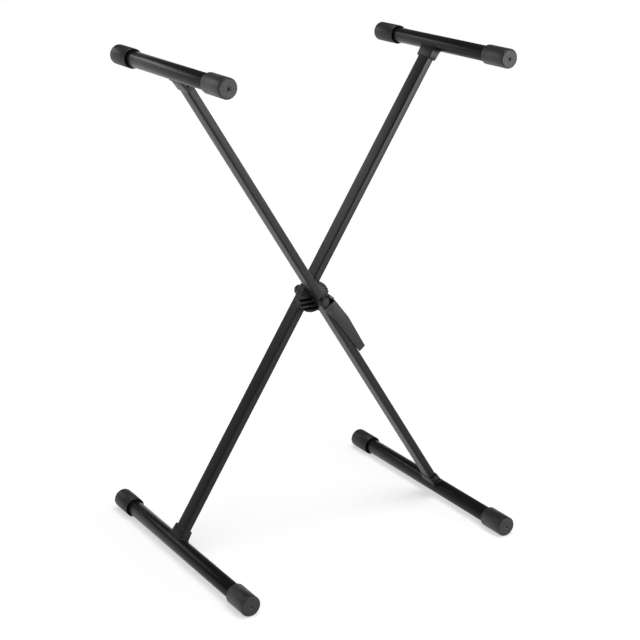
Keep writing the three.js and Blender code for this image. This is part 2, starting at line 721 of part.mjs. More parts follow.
// Both ends of both arms: +X ends and -X ends, with the bar that each carries.
const ends = [
  { name: "rear_top", arm: rear, side: 1, end: 1, bar: TOP_BAR, height: RISE },
  { name: "rear_foot", arm: rear, side: 1, end: -1, bar: FOOT_BAR, height: -RISE },
  { name: "front_top", arm: front, side: -1, end: -1, bar: TOP_BAR, height: RISE },
  { name: "front_foot", arm: front, side: -1, end: 1, bar: FOOT_BAR, height: -RISE },
];
for (const { name, arm, side, end, bar, height } of ends) {
  const sleeve = bracket(bar, side);
  const placed = end > 0 ? sleeve : sleeve.mirror([1, 0, 0]);
  arm.add(named(name + "_bracket", placed, paint("bracket_paint")));

  const bolt = named(name + "_bracket_bolt", crossBolt(), darkSteel());
  const nut = named(name + "_bracket_nut", crossNut(), darkSteel());
  for (const mesh of [bolt, nut]) {
    mesh.position.set(end * CROSS_HOLE_AT, side * ARM_CENTRE_Y, 0);
    mesh.rotation.x = side > 0 ? Math.PI : 0;
    arm.add(mesh);
  }

  const bars = new THREE.Group();
  bars.position.set(end * FOOT_SPREAD, 0, PIVOT_HEIGHT + height);
  bars.add(named(name + "_bar_tube", barTube(bar), paint("bar_paint")));
  const farCap = named(name + "_far_cap", cap(bar), rubber());
  const nearCap = named(name + "_near_cap", cap(bar), rubber());
  nearCap.rotation.x = Math.PI;
  bars.add(farCap, nearCap);
  stand.add(bars);
}

rear.add(named("ratchet_disc", ratchetDisc(), darkSteel()));
rear.add(named("pivot_bolt", pivotBolt(), darkSteel()));
rear.add(named("pivot_front_washer", pivotWasher(-1), darkSteel()));
rear.add(named("pivot_rear_washer", pivotWasher(1), darkSteel()));
rear.add(named("pivot_nut", pivotNut(), darkSteel()));
front.add(named("pivot_bush", pivotBush(), paleNylon()));
front.add(named("hub_cover", hubCover(), moulding()));

front.add(named("lever_pin", leverPin(), darkSteel()));
front.add(named("return_spring", returnSpring(), springSteel()));
front.add(named("trigger_lever", triggerLever(), paint("lever_paint")));
front.add(named("pawl", pawl(), darkSteel()));
PAWL_RIVETS_AT.forEach((x, i) => {
  front.add(named(["pawl_upper_rivet", "pawl_lower_rivet"][i], pawlRivet(x), springSteel()));
});

console.log("return spring, least gap between curls: " + springGap().toFixed(2) + " mm");

export default stand;
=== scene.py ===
import json
import math

import bpy
from bpy.props import FloatProperty, FloatVectorProperty, IntProperty, PointerProperty
from bpy.types import Operator, Panel, PropertyGroup
from mathutils import Matrix, Vector


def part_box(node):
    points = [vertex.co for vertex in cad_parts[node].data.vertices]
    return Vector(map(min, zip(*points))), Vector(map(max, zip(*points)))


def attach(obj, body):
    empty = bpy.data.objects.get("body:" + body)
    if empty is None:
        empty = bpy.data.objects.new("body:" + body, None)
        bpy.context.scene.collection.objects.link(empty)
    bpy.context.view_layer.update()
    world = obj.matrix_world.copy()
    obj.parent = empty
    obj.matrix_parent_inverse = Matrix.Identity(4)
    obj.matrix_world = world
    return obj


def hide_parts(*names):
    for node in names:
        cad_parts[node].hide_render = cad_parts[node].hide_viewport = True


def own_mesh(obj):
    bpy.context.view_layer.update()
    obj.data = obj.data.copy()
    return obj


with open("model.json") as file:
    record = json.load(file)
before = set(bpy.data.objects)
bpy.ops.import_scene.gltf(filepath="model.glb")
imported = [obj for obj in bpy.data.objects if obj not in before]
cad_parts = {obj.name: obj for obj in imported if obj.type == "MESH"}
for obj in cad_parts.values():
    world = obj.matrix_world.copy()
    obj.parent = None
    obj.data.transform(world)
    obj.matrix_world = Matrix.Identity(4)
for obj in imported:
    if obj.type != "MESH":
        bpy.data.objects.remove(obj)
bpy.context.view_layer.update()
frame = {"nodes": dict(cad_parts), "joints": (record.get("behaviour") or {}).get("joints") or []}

bl_info = {
    "name": "Folding Keyboard Stand",
    "version": (1, 0, 0),
    "blender": (4, 5, 0),
    "location": "View3D > Sidebar > Stand",
    "description": "Models and finishes a folding keyboard stand round its fixed frame",
    "category": "Add Mesh",
}

MM = 0.001

# ------------------------------------------------------------------ places taken from the frame


def joint_place(name):
    """Where a joint's axis passes, at rest."""
    found = [joint for joint in frame["joints"] if joint["name"] == name]
    return Vector(found[0]["pos_m"])


def centre(node):
    """The middle of a CAD node's box."""
    low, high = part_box(node)
    return (low + high) / 2


PIVOT = joint_place("fold")
ARM_LINE = centre("rear_top_bar_tube") - PIVOT
REACH = ARM_LINE.length
LEAN = math.atan2(ARM_LINE.z, ARM_LINE.x)

# Frames of the two arms: X along the arm, Y along the pivot, the pivot at nought.
REAR_ARM = Matrix.Translation(PIVOT) @ Matrix.Rotation(-LEAN, 4, "Y")
FRONT_ARM = Matrix.Translation(PIVOT) @ Matrix.Rotation(LEAN, 4, "Y")

# Each end of each arm: its name, its arm's frame and body, and which way along X it lies.
ENDS = (
    ("rear_top", REAR_ARM, "rear_frame", 1),
    ("rear_foot", REAR_ARM, "rear_frame", -1),
    ("front_top", FRONT_ARM, "front_frame", -1),
    ("front_foot", FRONT_ARM, "front_frame", 1),
)


def arm_box(node, arm):
    """Lowest and highest corner of a CAD node in an arm's own frame."""
    inward = arm.inverted()
    points = [inward @ vertex.co for vertex in frame["nodes"][node].data.vertices]
    low = Vector([min(point[i] for point in points) for i in range(3)])
    high = Vector([max(point[i] for point in points) for i in range(3)])
    return low, high


# ------------------------------------------------------------------ sizes and finishes


def length(name, description, millimetres):
    """A size in metres that the panel shows with its unit."""
    return FloatProperty(
        name=name, description=description, default=millimetres * MM, min=0, precision=5, unit="LENGTH"
    )


def colour(name, description, value):
    """A colour that the panel shows as a swatch."""
    return FloatVectorProperty(
        name=name, description=description, default=value, size=3, min=0, max=1, subtype="COLOR"
    )


def share(name, description, value):
    """A share from nought to one."""
    return FloatProperty(name=name, description=description, default=value, min=0, max=1, subtype="FACTOR")


def angle(name, description, degrees):
    """An angle that the panel shows in degrees."""
    return FloatProperty(
        name=name, description=description, default=math.radians(degrees), subtype="ANGLE", unit="ROTATION"
    )


class StandSizes(PropertyGroup):
    """Sizes of the fine shapes that the frame doesn't hold"""

    arm_corner: length("Arm corner", "Outer corner radius of the arm tubes", 2.8)
    arm_wall: length("Arm wall", "Wall of the arm tubes", 1.5)
    bar_wall: length("Bar wall", "Wall of the round bars", 1.5)
    bar_sides: IntProperty(name="Bar sides", description="Facets round a bar", default=96, min=24)
    cap_edge: length("Cap edge", "Rounding of a cap's outer edge", 3)
    cap_face: length("Cap face", "Thickness of a cap's end", 6)
    cap_lip: length("Cap lip", "Width of the rim at a cap's mouth", 1)
    cap_recess: length("Cap recess", "How deep a cap's mouth slopes in", 4.5)
    cap_groove: length("Cap groove", "Depth of the rings moulded in a cap's end", 0.35)
    cap_dimple: length("Cap dimple", "Radius of the gate mark in a cap's end", 2)
    sleeve_corner: length("Sleeve corner", "Corner radius of the sleeve brackets", 2)
    sleeve_narrow: length("Sleeve narrow end", "Thickness of a sleeve where the arm enters", 16.8)
    weld: length("Weld", "Radius of the weld beads", 2.3)
    sheet: length("Lever sheet", "Thickness of the lever's sheet", 2)
    bend: length("Lever bend", "Outer radius of the lever's bends", 3)
    hub_bevel: length("Hub edge", "Rounding of the hub's moulded edges", 0.45)
    steel_bevel: length("Steel edge", "Rounding of bolt, nut and washer edges", 0.3)


class StandFinish(PropertyGroup):
    """Colours and wear of the stand's surfaces"""

    paint: colour("Paint", "Black powder coat of arms and sleeves", (0.011, 0.011, 0.0115))
    bar_paint: colour("Bar paint", "Black powder coat of the round bars", (0.007, 0.007, 0.0075))
    # Painted light: the lever's paint is lighter than the arms' to paint in the extra light the lever catches in
    # front of the shaded arm face.
    lever_paint: colour("Lever paint with painted light", "Black powder coat of the lever", (0.02, 0.02, 0.021))
    rubber: colour("Rubber", "Moulded rubber of the caps", (0.017, 0.017, 0.0175))
    nylon: colour("Nylon", "Moulded nylon of the hub", (0.009, 0.009, 0.0095))
    dark_steel: colour("Dark steel", "Black oxide on bolts and nuts", (0.035, 0.035, 0.037))
    black_steel: colour("Black steel", "Black finish on the pivot's bolt, nut and washers", (0.01, 0.01, 0.0105))
    bright_steel: colour("Bright steel", "Bare spring, rivet and edge steel", (0.42, 0.42, 0.43))
    pale_nylon: colour("Pale nylon", "Natural nylon of the pivot bush", (0.6, 0.58, 0.53))
    wear: share("Edge wear", "How far edges are rubbed", 0.35)


class StandStudio(PropertyGroup):
    """Camera and lamps"""

    azimuth: angle("Azimuth", "The camera's bearing round the stand", -32.88)
    elevation: angle("Elevation", "The camera's height above the horizon", 19.165)
    roll: angle("Roll", "The camera's turn about its own line of sight", 0.398)
    distance: length("Distance", "From the camera to its aim", 2761.1)
    aim_across: length("Aim across", "Where the camera aims along X", 17.4)
    aim_height: length("Aim height", "Where the camera aims above the floor", 408.05)
    lens: FloatProperty(name="Lens", description="Focal length in millimetres", default=83.886, min=10)


# ------------------------------------------------------------------ modelling by hand


def alone(piece):
    """Make one object the only one selected, and the active one."""
    bpy.ops.object.select_all(action="DESELECT")
    piece.select_set(True)
    bpy.context.view_layer.objects.active = piece


def edit_all(piece):
    """Enter edit mode with the whole mesh selected."""
    alone(piece)
    bpy.ops.object.mode_set(mode="EDIT")
    bpy.ops.mesh.select_mode(type="VERT")
    bpy.ops.mesh.select_all(action="SELECT")


def edit_faces(piece, wanted):
    """Enter edit mode with the faces selected whose centre and normal pass the test."""
    alone(piece)
    bpy.ops.object.mode_set(mode="EDIT")
    bpy.ops.mesh.select_mode(type="FACE")
    bpy.ops.mesh.select_all(action="DESELECT")
    bpy.ops.object.mode_set(mode="OBJECT")
    for face in piece.data.polygons:
        face.select = wanted(face.center, face.normal)
    bpy.ops.object.mode_set(mode="EDIT")


def edit_edges(piece, wanted):
    """Enter edit mode with the edges selected whose two ends pass the test."""
    alone(piece)
    bpy.ops.object.mode_set(mode="EDIT")
    bpy.ops.mesh.select_mode(type="EDGE")
    bpy.ops.mesh.select_all(action="DESELECT")
    bpy.ops.object.mode_set(mode="OBJECT")
    points = piece.data.vertices
    for edge in piece.data.edges:
        a, b = edge.vertices
        edge.select = wanted(points[a].co, points[b].co)
    bpy.ops.object.mode_set(mode="EDIT")


def leave_edit():
    """Go back to object mode."""
    bpy.ops.object.mode_set(mode="OBJECT")


def set_down(name):
    """Name the new primitive and settle its place into its mesh."""
    piece = bpy.context.object
    piece.name = name
    piece.data.name = name
    bpy.ops.object.transform_apply(location=True, rotation=True, scale=True)
    return piece


def block(name, low, high):
    """A block between two corners."""
    low, high = Vector(low), Vector(high)
    bpy.ops.object.select_all(action="DESELECT")
    bpy.ops.mesh.primitive_cube_add(size=1, location=(low + high) / 2, scale=high - low)
    return set_down(name)


def turned(name, profile, sides, hollow=False):
    """A round piece about the Y axis, drawn as rings of (radius, y) one after the other."""
    radius, y = profile[0]
    bpy.ops.object.select_all(action="DESELECT")
    bpy.ops.mesh.primitive_circle_add(
        vertices=sides, radius=radius, location=(0, y, 0), rotation=(math.pi / 2, 0, 0)
    )
    piece = set_down(name)
    edit_all(piece)
    rings = profile[1:] + profile[:1] if hollow else profile[1:]
    for next_radius, next_y in rings:
        bpy.ops.mesh.extrude_region_move(TRANSFORM_OT_translate={"value": (0, next_y - y, 0)})
        grow = next_radius / radius
        bpy.ops.transform.resize(value=(grow, 1, grow), center_override=(0, next_y, 0))
        radius, y = next_radius, next_y
    bpy.ops.mesh.select_all(action="SELECT")
    bpy.ops.mesh.remove_doubles(threshold=MERGE)
    if not hollow:
        bpy.ops.mesh.fill_holes(sides=0)
    bpy.ops.mesh.select_all(action="SELECT")
    bpy.ops.mesh.normals_make_consistent(inside=False)
    leave_edit()
    return piece


def drawn_face(name, points, y):
    """A flat face across Y, drawn point by point round its outline of (x, z)."""
    x, z = points[0]
    bpy.ops.object.select_all(action="DESELECT")
    bpy.ops.mesh.primitive_plane_add(size=MM, location=(x, y, z))
    piece = set_down(name)
    edit_all(piece)
    bpy.ops.mesh.merge(type="CENTER")
    for next_x, next_z in points[1:] + points[:1]:
        step = (next_x - x, 0, next_z - z)
        bpy.ops.mesh.extrude_region_move(TRANSFORM_OT_translate={"value": step})
        x, z = next_x, next_z
    bpy.ops.mesh.select_all(action="SELECT")
    bpy.ops.mesh.remove_doubles(threshold=MERGE)
    bpy.ops.mesh.edge_face_add()
    leave_edit()
    return piece


def thicken(piece, depth):
    """Give a flat face its depth along Y."""
    edit_all(piece)
    bpy.ops.mesh.extrude_region_move(TRANSFORM_OT_translate={"value": (0, depth, 0)})
    bpy.ops.mesh.select_all(action="SELECT")
    bpy.ops.mesh.normals_make_consistent(inside=False)
    leave_edit()
    return piece


def plate(name, points, y0, y1):
    """A plate with a drawn outline."""
    return thicken(drawn_face(name, points, y0), y1 - y0)


def apply_modifier(piece, kind, **settings):
    """Add one modifier, set it and apply it."""
    alone(piece)
    modifier = piece.modifiers.new(kind.lower(), kind)
    for key, value in settings.items():
        setattr(modifier, key, value)
    bpy.ops.object.modifier_apply(modifier=modifier.name)


def combine(piece, other, operation):
    """Cut, keep or join what another solid covers, and clear that solid away."""
    apply_modifier(piece, "BOOLEAN", object=other, operation=operation, solver="EXACT")
    bpy.data.objects.remove(other, do_unlink=True)


def soften(piece, width, segments=3, above=35):
    """Round every edge that is sharper than an angle."""
    apply_modifier(
        piece,
        "BEVEL",
        width=width,
        segments=segments,
        limit_method="ANGLE",
        angle_limit=math.radians(above),
        use_clamp_overlap=True,
    )


def move(piece, place):
    """Carry a piece to its place and settle that into its mesh."""
    alone(piece)
    piece.matrix_world = place @ piece.matrix_world
    bpy.ops.object.transform_apply(location=True, rotation=True, scale=True)
    return piece


def twin(piece, name):
    """A copy with a mesh of its own."""
    copy = piece.copy()
    copy.data = piece.data.copy()
    copy.name = copy.data.name = name
    bpy.context.scene.collection.objects.link(copy)
    return copy


def hand_over(piece, place, body, slot, material, *nodes, smooth=35):
    """Set a finished piece in place, on its body, in its finish, for the CAD nodes that it stands for."""
    move(piece, place)
    bpy.ops.object.shade_smooth_by_angle(angle=math.radians(smooth))
    piece.data.materials.clear()
    piece.data.materials.append(bpy.data.materials[material])
    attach(piece, body)
    if nodes:
        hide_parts(*nodes)
    return piece


MERGE = 0.001 * MM
BOLT_SIDES = 48
POLE = 0.15 * MM

# ------------------------------------------------------------------ finishes


def new_group(name, inputs, outputs):
    """An empty shader group with named inputs and outputs."""
    tree = bpy.data.node_groups.new(name, "ShaderNodeTree")
    for label, value in inputs:
        socket = tree.interface.new_socket(name=label, in_out="INPUT", socket_type="NodeSocketFloat")
        socket.default_value = value
    for label in outputs:
        tree.interface.new_socket(name=label, in_out="OUTPUT", socket_type="NodeSocketFloat")
    return tree, tree.nodes.new("NodeGroupInput"), tree.nodes.new("NodeGroupOutput")


def math_node(tree, operation, first, second, clamp=False):
    """One arithmetic node; each side is a socket or a number."""
    node = tree.nodes.new("ShaderNodeMath")
    node.operation = operation
    node.use_clamp = clamp
    for socket, value in zip(node.inputs, (first, second)):
        if isinstance(value, (int, float)):
            socket.default_value = value
        else:
            tree.links.new(value, socket)
    return node.outputs[0]


def noise_node(tree, scale, detail, roughness=0.5, stretch=(1, 1, 1)):
    """Noise on Object coordinates, stretched if asked; the scale is a socket or a number."""
    place = tree.nodes.new("ShaderNodeTexCoord")
    mapping = tree.nodes.new("ShaderNodeMapping")
    mapping.inputs["Scale"].default_value = stretch
    noise = tree.nodes.new("ShaderNodeTexNoise")
    noise.inputs["Detail"].default_value = detail
    noise.inputs["Roughness"].default_value = roughness
    tree.links.new(place.outputs["Object"], mapping.inputs["Vector"])
    tree.links.new(mapping.outputs["Vector"], noise.inputs["Vector"])
    if isinstance(scale, (int, float)):
        noise.inputs["Scale"].default_value = scale
    else:
        tree.links.new(scale, noise.inputs["Scale"])
    return noise.outputs["Fac"]


def ramp_node(tree, value, low, high):
    """A value mapped from low..high to nought..one."""
    node = tree.nodes.new("ShaderNodeMapRange")
    node.inputs["From Min"].default_value = low
    node.inputs["From Max"].default_value = high
    tree.links.new(value, node.inputs["Value"])
    return node.outputs["Result"]


def edge_wear_group():
    """Where an edge is rubbed: 1 on the edge, broken up by noise."""
    tree, given, result = new_group("Edge wear", [("Radius", 0.8 * MM), ("Patch", 140.0)], ["Mask"])
    bevel = tree.nodes.new("ShaderNodeBevel")
    bevel.samples = 4
    tree.links.new(given.outputs["Radius"], bevel.inputs["Radius"])
    surface = tree.nodes.new("ShaderNodeNewGeometry")
    dot = tree.nodes.new("ShaderNodeVectorMath")
    dot.operation = "DOT_PRODUCT"
    tree.links.new(bevel.outputs["Normal"], dot.inputs[0])
    tree.links.new(surface.outputs["Normal"], dot.inputs[1])
    edge = ramp_node(tree, math_node(tree, "SUBTRACT", 1.0, dot.outputs["Value"]), 0.02, 0.2)
    patches = ramp_node(tree, noise_node(tree, given.outputs["Patch"], 4), 0.4, 0.68)
    tree.links.new(math_node(tree, "MULTIPLY", edge, patches, clamp=True), result.inputs["Mask"])
    return tree


def coat_group():
    """Powder coat: an orange-peel height, and a slow change of tone from handling."""
    tree, given, result = new_group("Powder coat", [("Peel", 900.0), ("Cloud", 9.0)], ["Height", "Tone"])
    peel = noise_node(tree, given.outputs["Peel"], 2, 0.45)
    grit = noise_node(tree, math_node(tree, "MULTIPLY", given.outputs["Peel"], 3.1), 1)
    height = math_node(tree, "ADD", peel, math_node(tree, "MULTIPLY", grit, 0.35))
    cloud = ramp_node(tree, noise_node(tree, given.outputs["Cloud"], 5, 0.6), 0.3, 0.7)
    tree.links.new(height, result.inputs["Height"])
    tree.links.new(cloud, result.inputs["Tone"])
    return tree


def moulding_group():
    """Moulded rubber and nylon: a fine stipple, and a faint bloom in patches."""
    tree, given, result = new_group("Moulding", [("Stipple", 1500.0), ("Bloom", 38.0)], ["Height", "Tone"])
    cells = tree.nodes.new("ShaderNodeTexVoronoi")
    place = tree.nodes.new("ShaderNodeTexCoord")
    tree.links.new(place.outputs["Object"], cells.inputs["Vector"])
    tree.links.new(given.outputs["Stipple"], cells.inputs["Scale"])
    grain = noise_node(tree, given.outputs["Stipple"], 2)
    height = math_node(tree, "ADD", cells.outputs["Distance"], grain)
    bloom = ramp_node(tree, noise_node(tree, given.outputs["Bloom"], 5, 0.62), 0.32, 0.72)
    tree.links.new(height, result.inputs["Height"])
    tree.links.new(bloom, result.inputs["Tone"])
    return tree


def steel_group():
    """Machined steel: fine tool marks across Y, and oxide in patches."""
    tree, given, result = new_group("Machined steel", [("Marks", 700.0), ("Oxide", 160.0)], ["Height", "Tone"])
    marks = noise_node(tree, given.outputs["Marks"], 3, 0.6, stretch=(1, 6, 1))
    oxide = ramp_node(tree, noise_node(tree, given.outputs["Oxide"], 4, 0.6), 0.35, 0.7)
    tree.links.new(marks, result.inputs["Height"])
    tree.links.new(oxide, result.inputs["Tone"])
    return tree


def mix_colour(tree, factor, first, second):
    """Two colours mixed by a socket; each colour is a socket or a tuple."""
    node = tree.nodes.new("ShaderNodeMix")
    node.data_type = "RGBA"
    tree.links.new(factor, node.inputs["Factor"])
    for socket, value in ((node.inputs[6], first), (node.inputs[7], second)):
        if isinstance(value, (tuple, list)):
            socket.default_value = (*value[:3], 1)
        else:
            tree.links.new(value, socket)
    return node.outputs[2]


def finish(name, surface, base, bare, rough, relief, metal=0.0, wear=0.0, lift=1.35, shine=0.5):
    """A material: its surface group drives tone, roughness and relief, and rubbed edges show what is bare."""
    material = bpy.data.materials.new(name)
    material.use_nodes = True
    material.diffuse_color = (*base, 1)
    tree = material.node_tree
    shader = tree.nodes["Principled BSDF"]
    grain = tree.nodes.new("ShaderNodeGroup")
    grain.node_tree = bpy.data.node_groups[surface]
    edges = tree.nodes.new("ShaderNodeGroup")
    edges.node_tree = bpy.data.node_groups["Edge wear"]
    lighter = tuple(min(1.0, lift * channel) for channel in base)
    toned = mix_colour(tree, grain.outputs["Tone"], tuple(base), lighter)
    rubbed = math_node(tree, "MULTIPLY", edges.outputs["Mask"], wear, clamp=True)
    tree.links.new(mix_colour(tree, rubbed, toned, tuple(bare)), shader.inputs["Base Color"])
    low, high = rough
    spread = math_node(tree, "MULTIPLY", grain.outputs["Tone"], high - low)
    tree.links.new(math_node(tree, "ADD", spread, low), shader.inputs["Roughness"])
    bump = tree.nodes.new("ShaderNodeBump")
    bump.inputs["Strength"].default_value = 1
    bump.inputs["Distance"].default_value = relief
    tree.links.new(grain.outputs["Height"], bump.inputs["Height"])
    tree.links.new(bump.outputs["Normal"], shader.inputs["Normal"])
    shader.inputs["Metallic"].default_value = metal
    shader.inputs["Specular IOR Level"].default_value = shine
    return material


class STAND_OT_finishes(Operator):
    """Make the paint, rubber, nylon and steel that the stand's pieces wear"""

    bl_idname = "stand.finishes"
    bl_label = "Finishes"

    def execute(self, context):
        look = context.scene.stand_finish
        edge_wear_group()
        coat_group()
        moulding_group()
        steel_group()
        steel, worn = look.bright_steel, look.wear
        pale_rubber = [2.2 * channel for channel in look.rubber]
        pale_moulding = [2.5 * channel for channel in look.nylon]
        coat = "Powder coat"
        finish("Arm paint", coat, look.paint, steel, (0.32, 0.38), 0.008 * MM, wear=0.2 * worn, shine=0.19)
        finish("Bar paint", coat, look.bar_paint, steel, (0.26, 0.32), 0.001 * MM, wear=0.2 * worn, shine=0.17)
        finish("Sleeve paint", coat, look.paint, steel, (0.32, 0.38), 0.008 * MM, wear=0.3 * worn, shine=0.19)
        # Painted light: the lever's lighter base paints in the light it catches in front of the shaded arm, and
        # its stronger edge rubbing is real wear and also a painted highlight along its bends.
        finish("Lever paint with painted light", coat, look.lever_paint, steel, (0.4, 0.46), 0.008 * MM, wear=0.4 * worn, shine=0.24)
        finish("Cap rubber", "Moulding", look.rubber, pale_rubber, (0.42, 0.5), 0.012 * MM, wear=worn, shine=0.4)
        finish("Hub nylon", "Moulding", look.nylon, pale_moulding, (0.4, 0.55), 0.02 * MM, wear=worn, shine=0.35)
        finish("Pale nylon", "Moulding", look.pale_nylon, look.pale_nylon, (0.45, 0.6), 0.02 * MM)
        marks = "Machined steel"
        finish("Dark steel", marks, look.dark_steel, steel, (0.36, 0.5), 0.01 * MM, 0.9, 0.5 * worn)
        finish("Black steel", marks, look.black_steel, steel, (0.42, 0.5), 0.006 * MM, wear=0.2 * worn, shine=0.25)
        finish("Bright steel", marks, steel, look.dark_steel, (0.24, 0.38), 0.008 * MM, 1.0)
        return {"FINISHED"}


# ------------------------------------------------------------------ arms and bars

HOLE_EASE = 0.3 * MM
PIVOT_SHANK = 5 * MM
CROSS_SHANK = 3 * MM
LEVER_PIN_SHANK = 3 * MM


def hole(piece, radius, x, z, y0, y1):
    """Drill a round hole along Y."""
    drill = turned("drill", [(radius, y0), (radius, y1)], BOLT_SIDES)
    combine(piece, move(drill, Matrix.Translation((x, 0, z))), "DIFFERENCE")


def outside_of(low, high):
    """An arm's middle along Y, and its outer side a little beyond the tube, lowest first."""
    middle = (low.y + high.y) / 2
    outside = high.y + MM if middle > 0 else low.y - MM
    return min(middle, outside), max(middle, outside)


class STAND_OT_arms(Operator):
    """Model the two rectangular arm tubes, with rounded corners and drilled holes"""

    bl_idname = "stand.arms"
    bl_label = "Arms"

    def execute(self, context):
        sizes = context.scene.stand_sizes
        bush = arm_box("pivot_bush", FRONT_ARM)[1].z
        for name, node, arm, body, bore in (
            ("rear_arm", "rear_arm_tube", REAR_ARM, "rear_frame", PIVOT_SHANK + HOLE_EASE),
            ("front_arm", "front_arm_tube", FRONT_ARM, "front_frame", bush + HOLE_EASE),
        ):
            low, high = arm_box(node, arm)
            tube = block(name, low, high)
            edit_edges(tube, lambda a, b: abs(a.x - b.x) > REACH)
            bpy.ops.mesh.bevel(offset=sizes.arm_corner, segments=6, affect="EDGES")
            leave_edit()
            edit_faces(tube, lambda place, normal: abs(normal.x) > 0.9)
            bpy.ops.mesh.delete(type="FACE")
            leave_edit()
            apply_modifier(tube, "SOLIDIFY", thickness=sizes.arm_wall, offset=-1, use_even_offset=True)
            hole(tube, bore, 0, 0, low.y - MM, high.y + MM)
            for end_name, end_arm, _, _ in ENDS:
                if end_arm is arm:
                    bolt_low, bolt_high = arm_box(end_name + "_bracket_bolt", arm)
                    x = (bolt_low.x + bolt_high.x) / 2
                    hole(tube, CROSS_SHANK + HOLE_EASE, x, 0, *outside_of(low, high))
            if name == "front_arm":
                pin = FRONT_ARM.inverted() @ joint_place("trigger_squeeze")
                hole(tube, LEVER_PIN_SHANK + HOLE_EASE, pin.x, pin.z, low.y - MM, high.y + MM)
            hand_over(tube, arm, body, "arm_paint", "Arm paint", node)
        return {"FINISHED"}


class STAND_OT_bars(Operator):
    """Model the four round bars that the keyboard and the floor meet"""

    bl_idname = "stand.bars"
    bl_label = "Bars"

    def execute(self, context):
        sizes = context.scene.stand_sizes
        for name, _, body, _ in ENDS:
            node = name + "_bar_tube"
            low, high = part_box(node)
            radius = (high.z - low.z) / 2
            half = (high.y - low.y) / 2
            bore = radius - sizes.bar_wall
            profile = [(bore, -half), (radius, -half), (radius, half), (bore, half)]
            bar = turned(name + "_bar", profile, sizes.bar_sides, hollow=True)
            soften(bar, sizes.steel_bevel, segments=2)
            hand_over(bar, Matrix.Translation(centre(node)), body, "bar_paint", "Bar paint", node)
        return {"FINISHED"}


# ------------------------------------------------------------------ caps

CAP_RINGS = (0.8, 0.6, 0.38)
CAP_RING_WIDTH = 0.5 * MM
CAP_DIMPLE_DEPTH = 2.5 * MM
HAIR = 0.01 * MM


def cap_profile(sizes, radius, bore, mouth, face):
    """Rings of a cap from inside its closed end, round its mouth, to the middle of its face."""
    edge = sizes.cap_edge
    profile = [(POLE, face - sizes.cap_face), (bore, face - sizes.cap_face)]
    profile += [(bore, mouth + sizes.cap_recess)]
    profile += [(radius - sizes.cap_lip, mouth + 0.3 * MM), (radius - sizes.cap_lip + 0.3 * MM, mouth)]
    profile += [(radius - 0.4 * MM, mouth), (radius, mouth + 0.4 * MM)]
    for step in range(7):
        turn = step / 6 * math.pi / 2
        profile.append((radius - edge * (1 - math.cos(turn)), face - edge * (1 - math.sin(turn))))
    for part in CAP_RINGS:
        at = part * (radius - edge / 2)
        floor = face - sizes.cap_groove
        half = CAP_RING_WIDTH / 2
        profile += [(at + 2 * half, face), (at + half, floor), (at - half, floor), (at - 2 * half, face)]
    dimple = sizes.cap_dimple
    profile += [(dimple + 0.4 * MM, face), (dimple, face - 0.4 * MM)]
    profile += [(0.8 * dimple, face - CAP_DIMPLE_DEPTH), (POLE, face - CAP_DIMPLE_DEPTH)]
    return profile


class STAND_OT_caps(Operator):
    """Model the eight rubber caps, with rounded ends, moulded rings and a recessed mouth"""

    bl_idname = "stand.caps"
    bl_label = "Caps"

    def execute(self, context):
        sizes = context.scene.stand_sizes
        for name, _, body, _ in ENDS:
            tube_low, tube_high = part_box(name + "_bar_tube")
            middle = centre(name + "_bar_tube")
            bore = (tube_high.z - tube_low.z) / 2 + 0.1 * MM
            for side, turn in (("far", 0), ("near", math.pi)):
                node = name + "_" + side + "_cap"
                low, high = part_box(node)
                radius = (high.z - low.z) / 2 - HAIR
                mouth, face = sorted(abs(y - middle.y) for y in (low.y, high.y))
                profile = cap_profile(sizes, radius, bore, mouth, face - HAIR)
                cap = turned(name + "_" + side + "_end_cap", profile, 96)
                place = Matrix.Translation(middle) @ Matrix.Rotation(turn, 4, "X")
                hand_over(cap, place, body, "cap_rubber", "Cap rubber", node, smooth=50)
        return {"FINISHED"}


# ------------------------------------------------------------------ sleeves, welds and cross bolts

WELD_STEPS = 13
WELD_RIPPLE = 0.86


def arc_weld(name, radius, bar_radius, end, y, reach_angle):
    """A rippled bead on the bar's skin, bent round the bar over an angle."""
    bpy.ops.object.select_all(action="DESELECT")
    bpy.ops.mesh.primitive_circle_add(
        vertices=12, radius=radius, location=(end * (REACH - bar_radius), y, 0)
    )
    bead = set_down(name)
    axis_place = (end * REACH, y, 0)
    edit_all(bead)
    bpy.ops.transform.rotate(value=reach_angle, orient_axis="Y", center_override=axis_place)
    turn = -2 * reach_angle / WELD_STEPS
    for step in range(WELD_STEPS):
        bpy.ops.mesh.extrude_region_move(TRANSFORM_OT_translate={"value": (0, 0, 0)})
        bpy.ops.transform.rotate(value=turn, orient_axis="Y", center_override=axis_place)
        ring = [vertex.co.copy() for vertex in selected_points(bead)]
        middle = sum(ring, Vector()) / len(ring)
        grow = WELD_RIPPLE if step % 2 == 0 else 1 / WELD_RIPPLE
        bpy.ops.transform.resize(value=(grow, grow, grow), center_override=middle)
    close_ends(bead)
    return bead


def straight_weld(name, radius, x, z, y0, y1):
    """A rippled bead along Y."""
    bpy.ops.object.select_all(action="DESELECT")
    bpy.ops.mesh.primitive_circle_add(
        vertices=12, radius=radius, location=(x, y0, z), rotation=(math.pi / 2, 0, 0)
    )
    bead = set_down(name)
    steps = 2 * WELD_STEPS
    edit_all(bead)
    for step in range(steps):
        stride = (y1 - y0) / steps
        bpy.ops.mesh.extrude_region_move(TRANSFORM_OT_translate={"value": (0, stride, 0)})
        grow = WELD_RIPPLE if step % 2 == 0 else 1 / WELD_RIPPLE
        bpy.ops.transform.resize(value=(grow, 1, grow), center_override=(x, y0 + (step + 1) * stride, z))
    close_ends(bead)
    return bead


def selected_points(piece):
    """The vertices that edit mode has selected."""
    piece.update_from_editmode()
    return [vertex for vertex in piece.data.vertices if vertex.select]


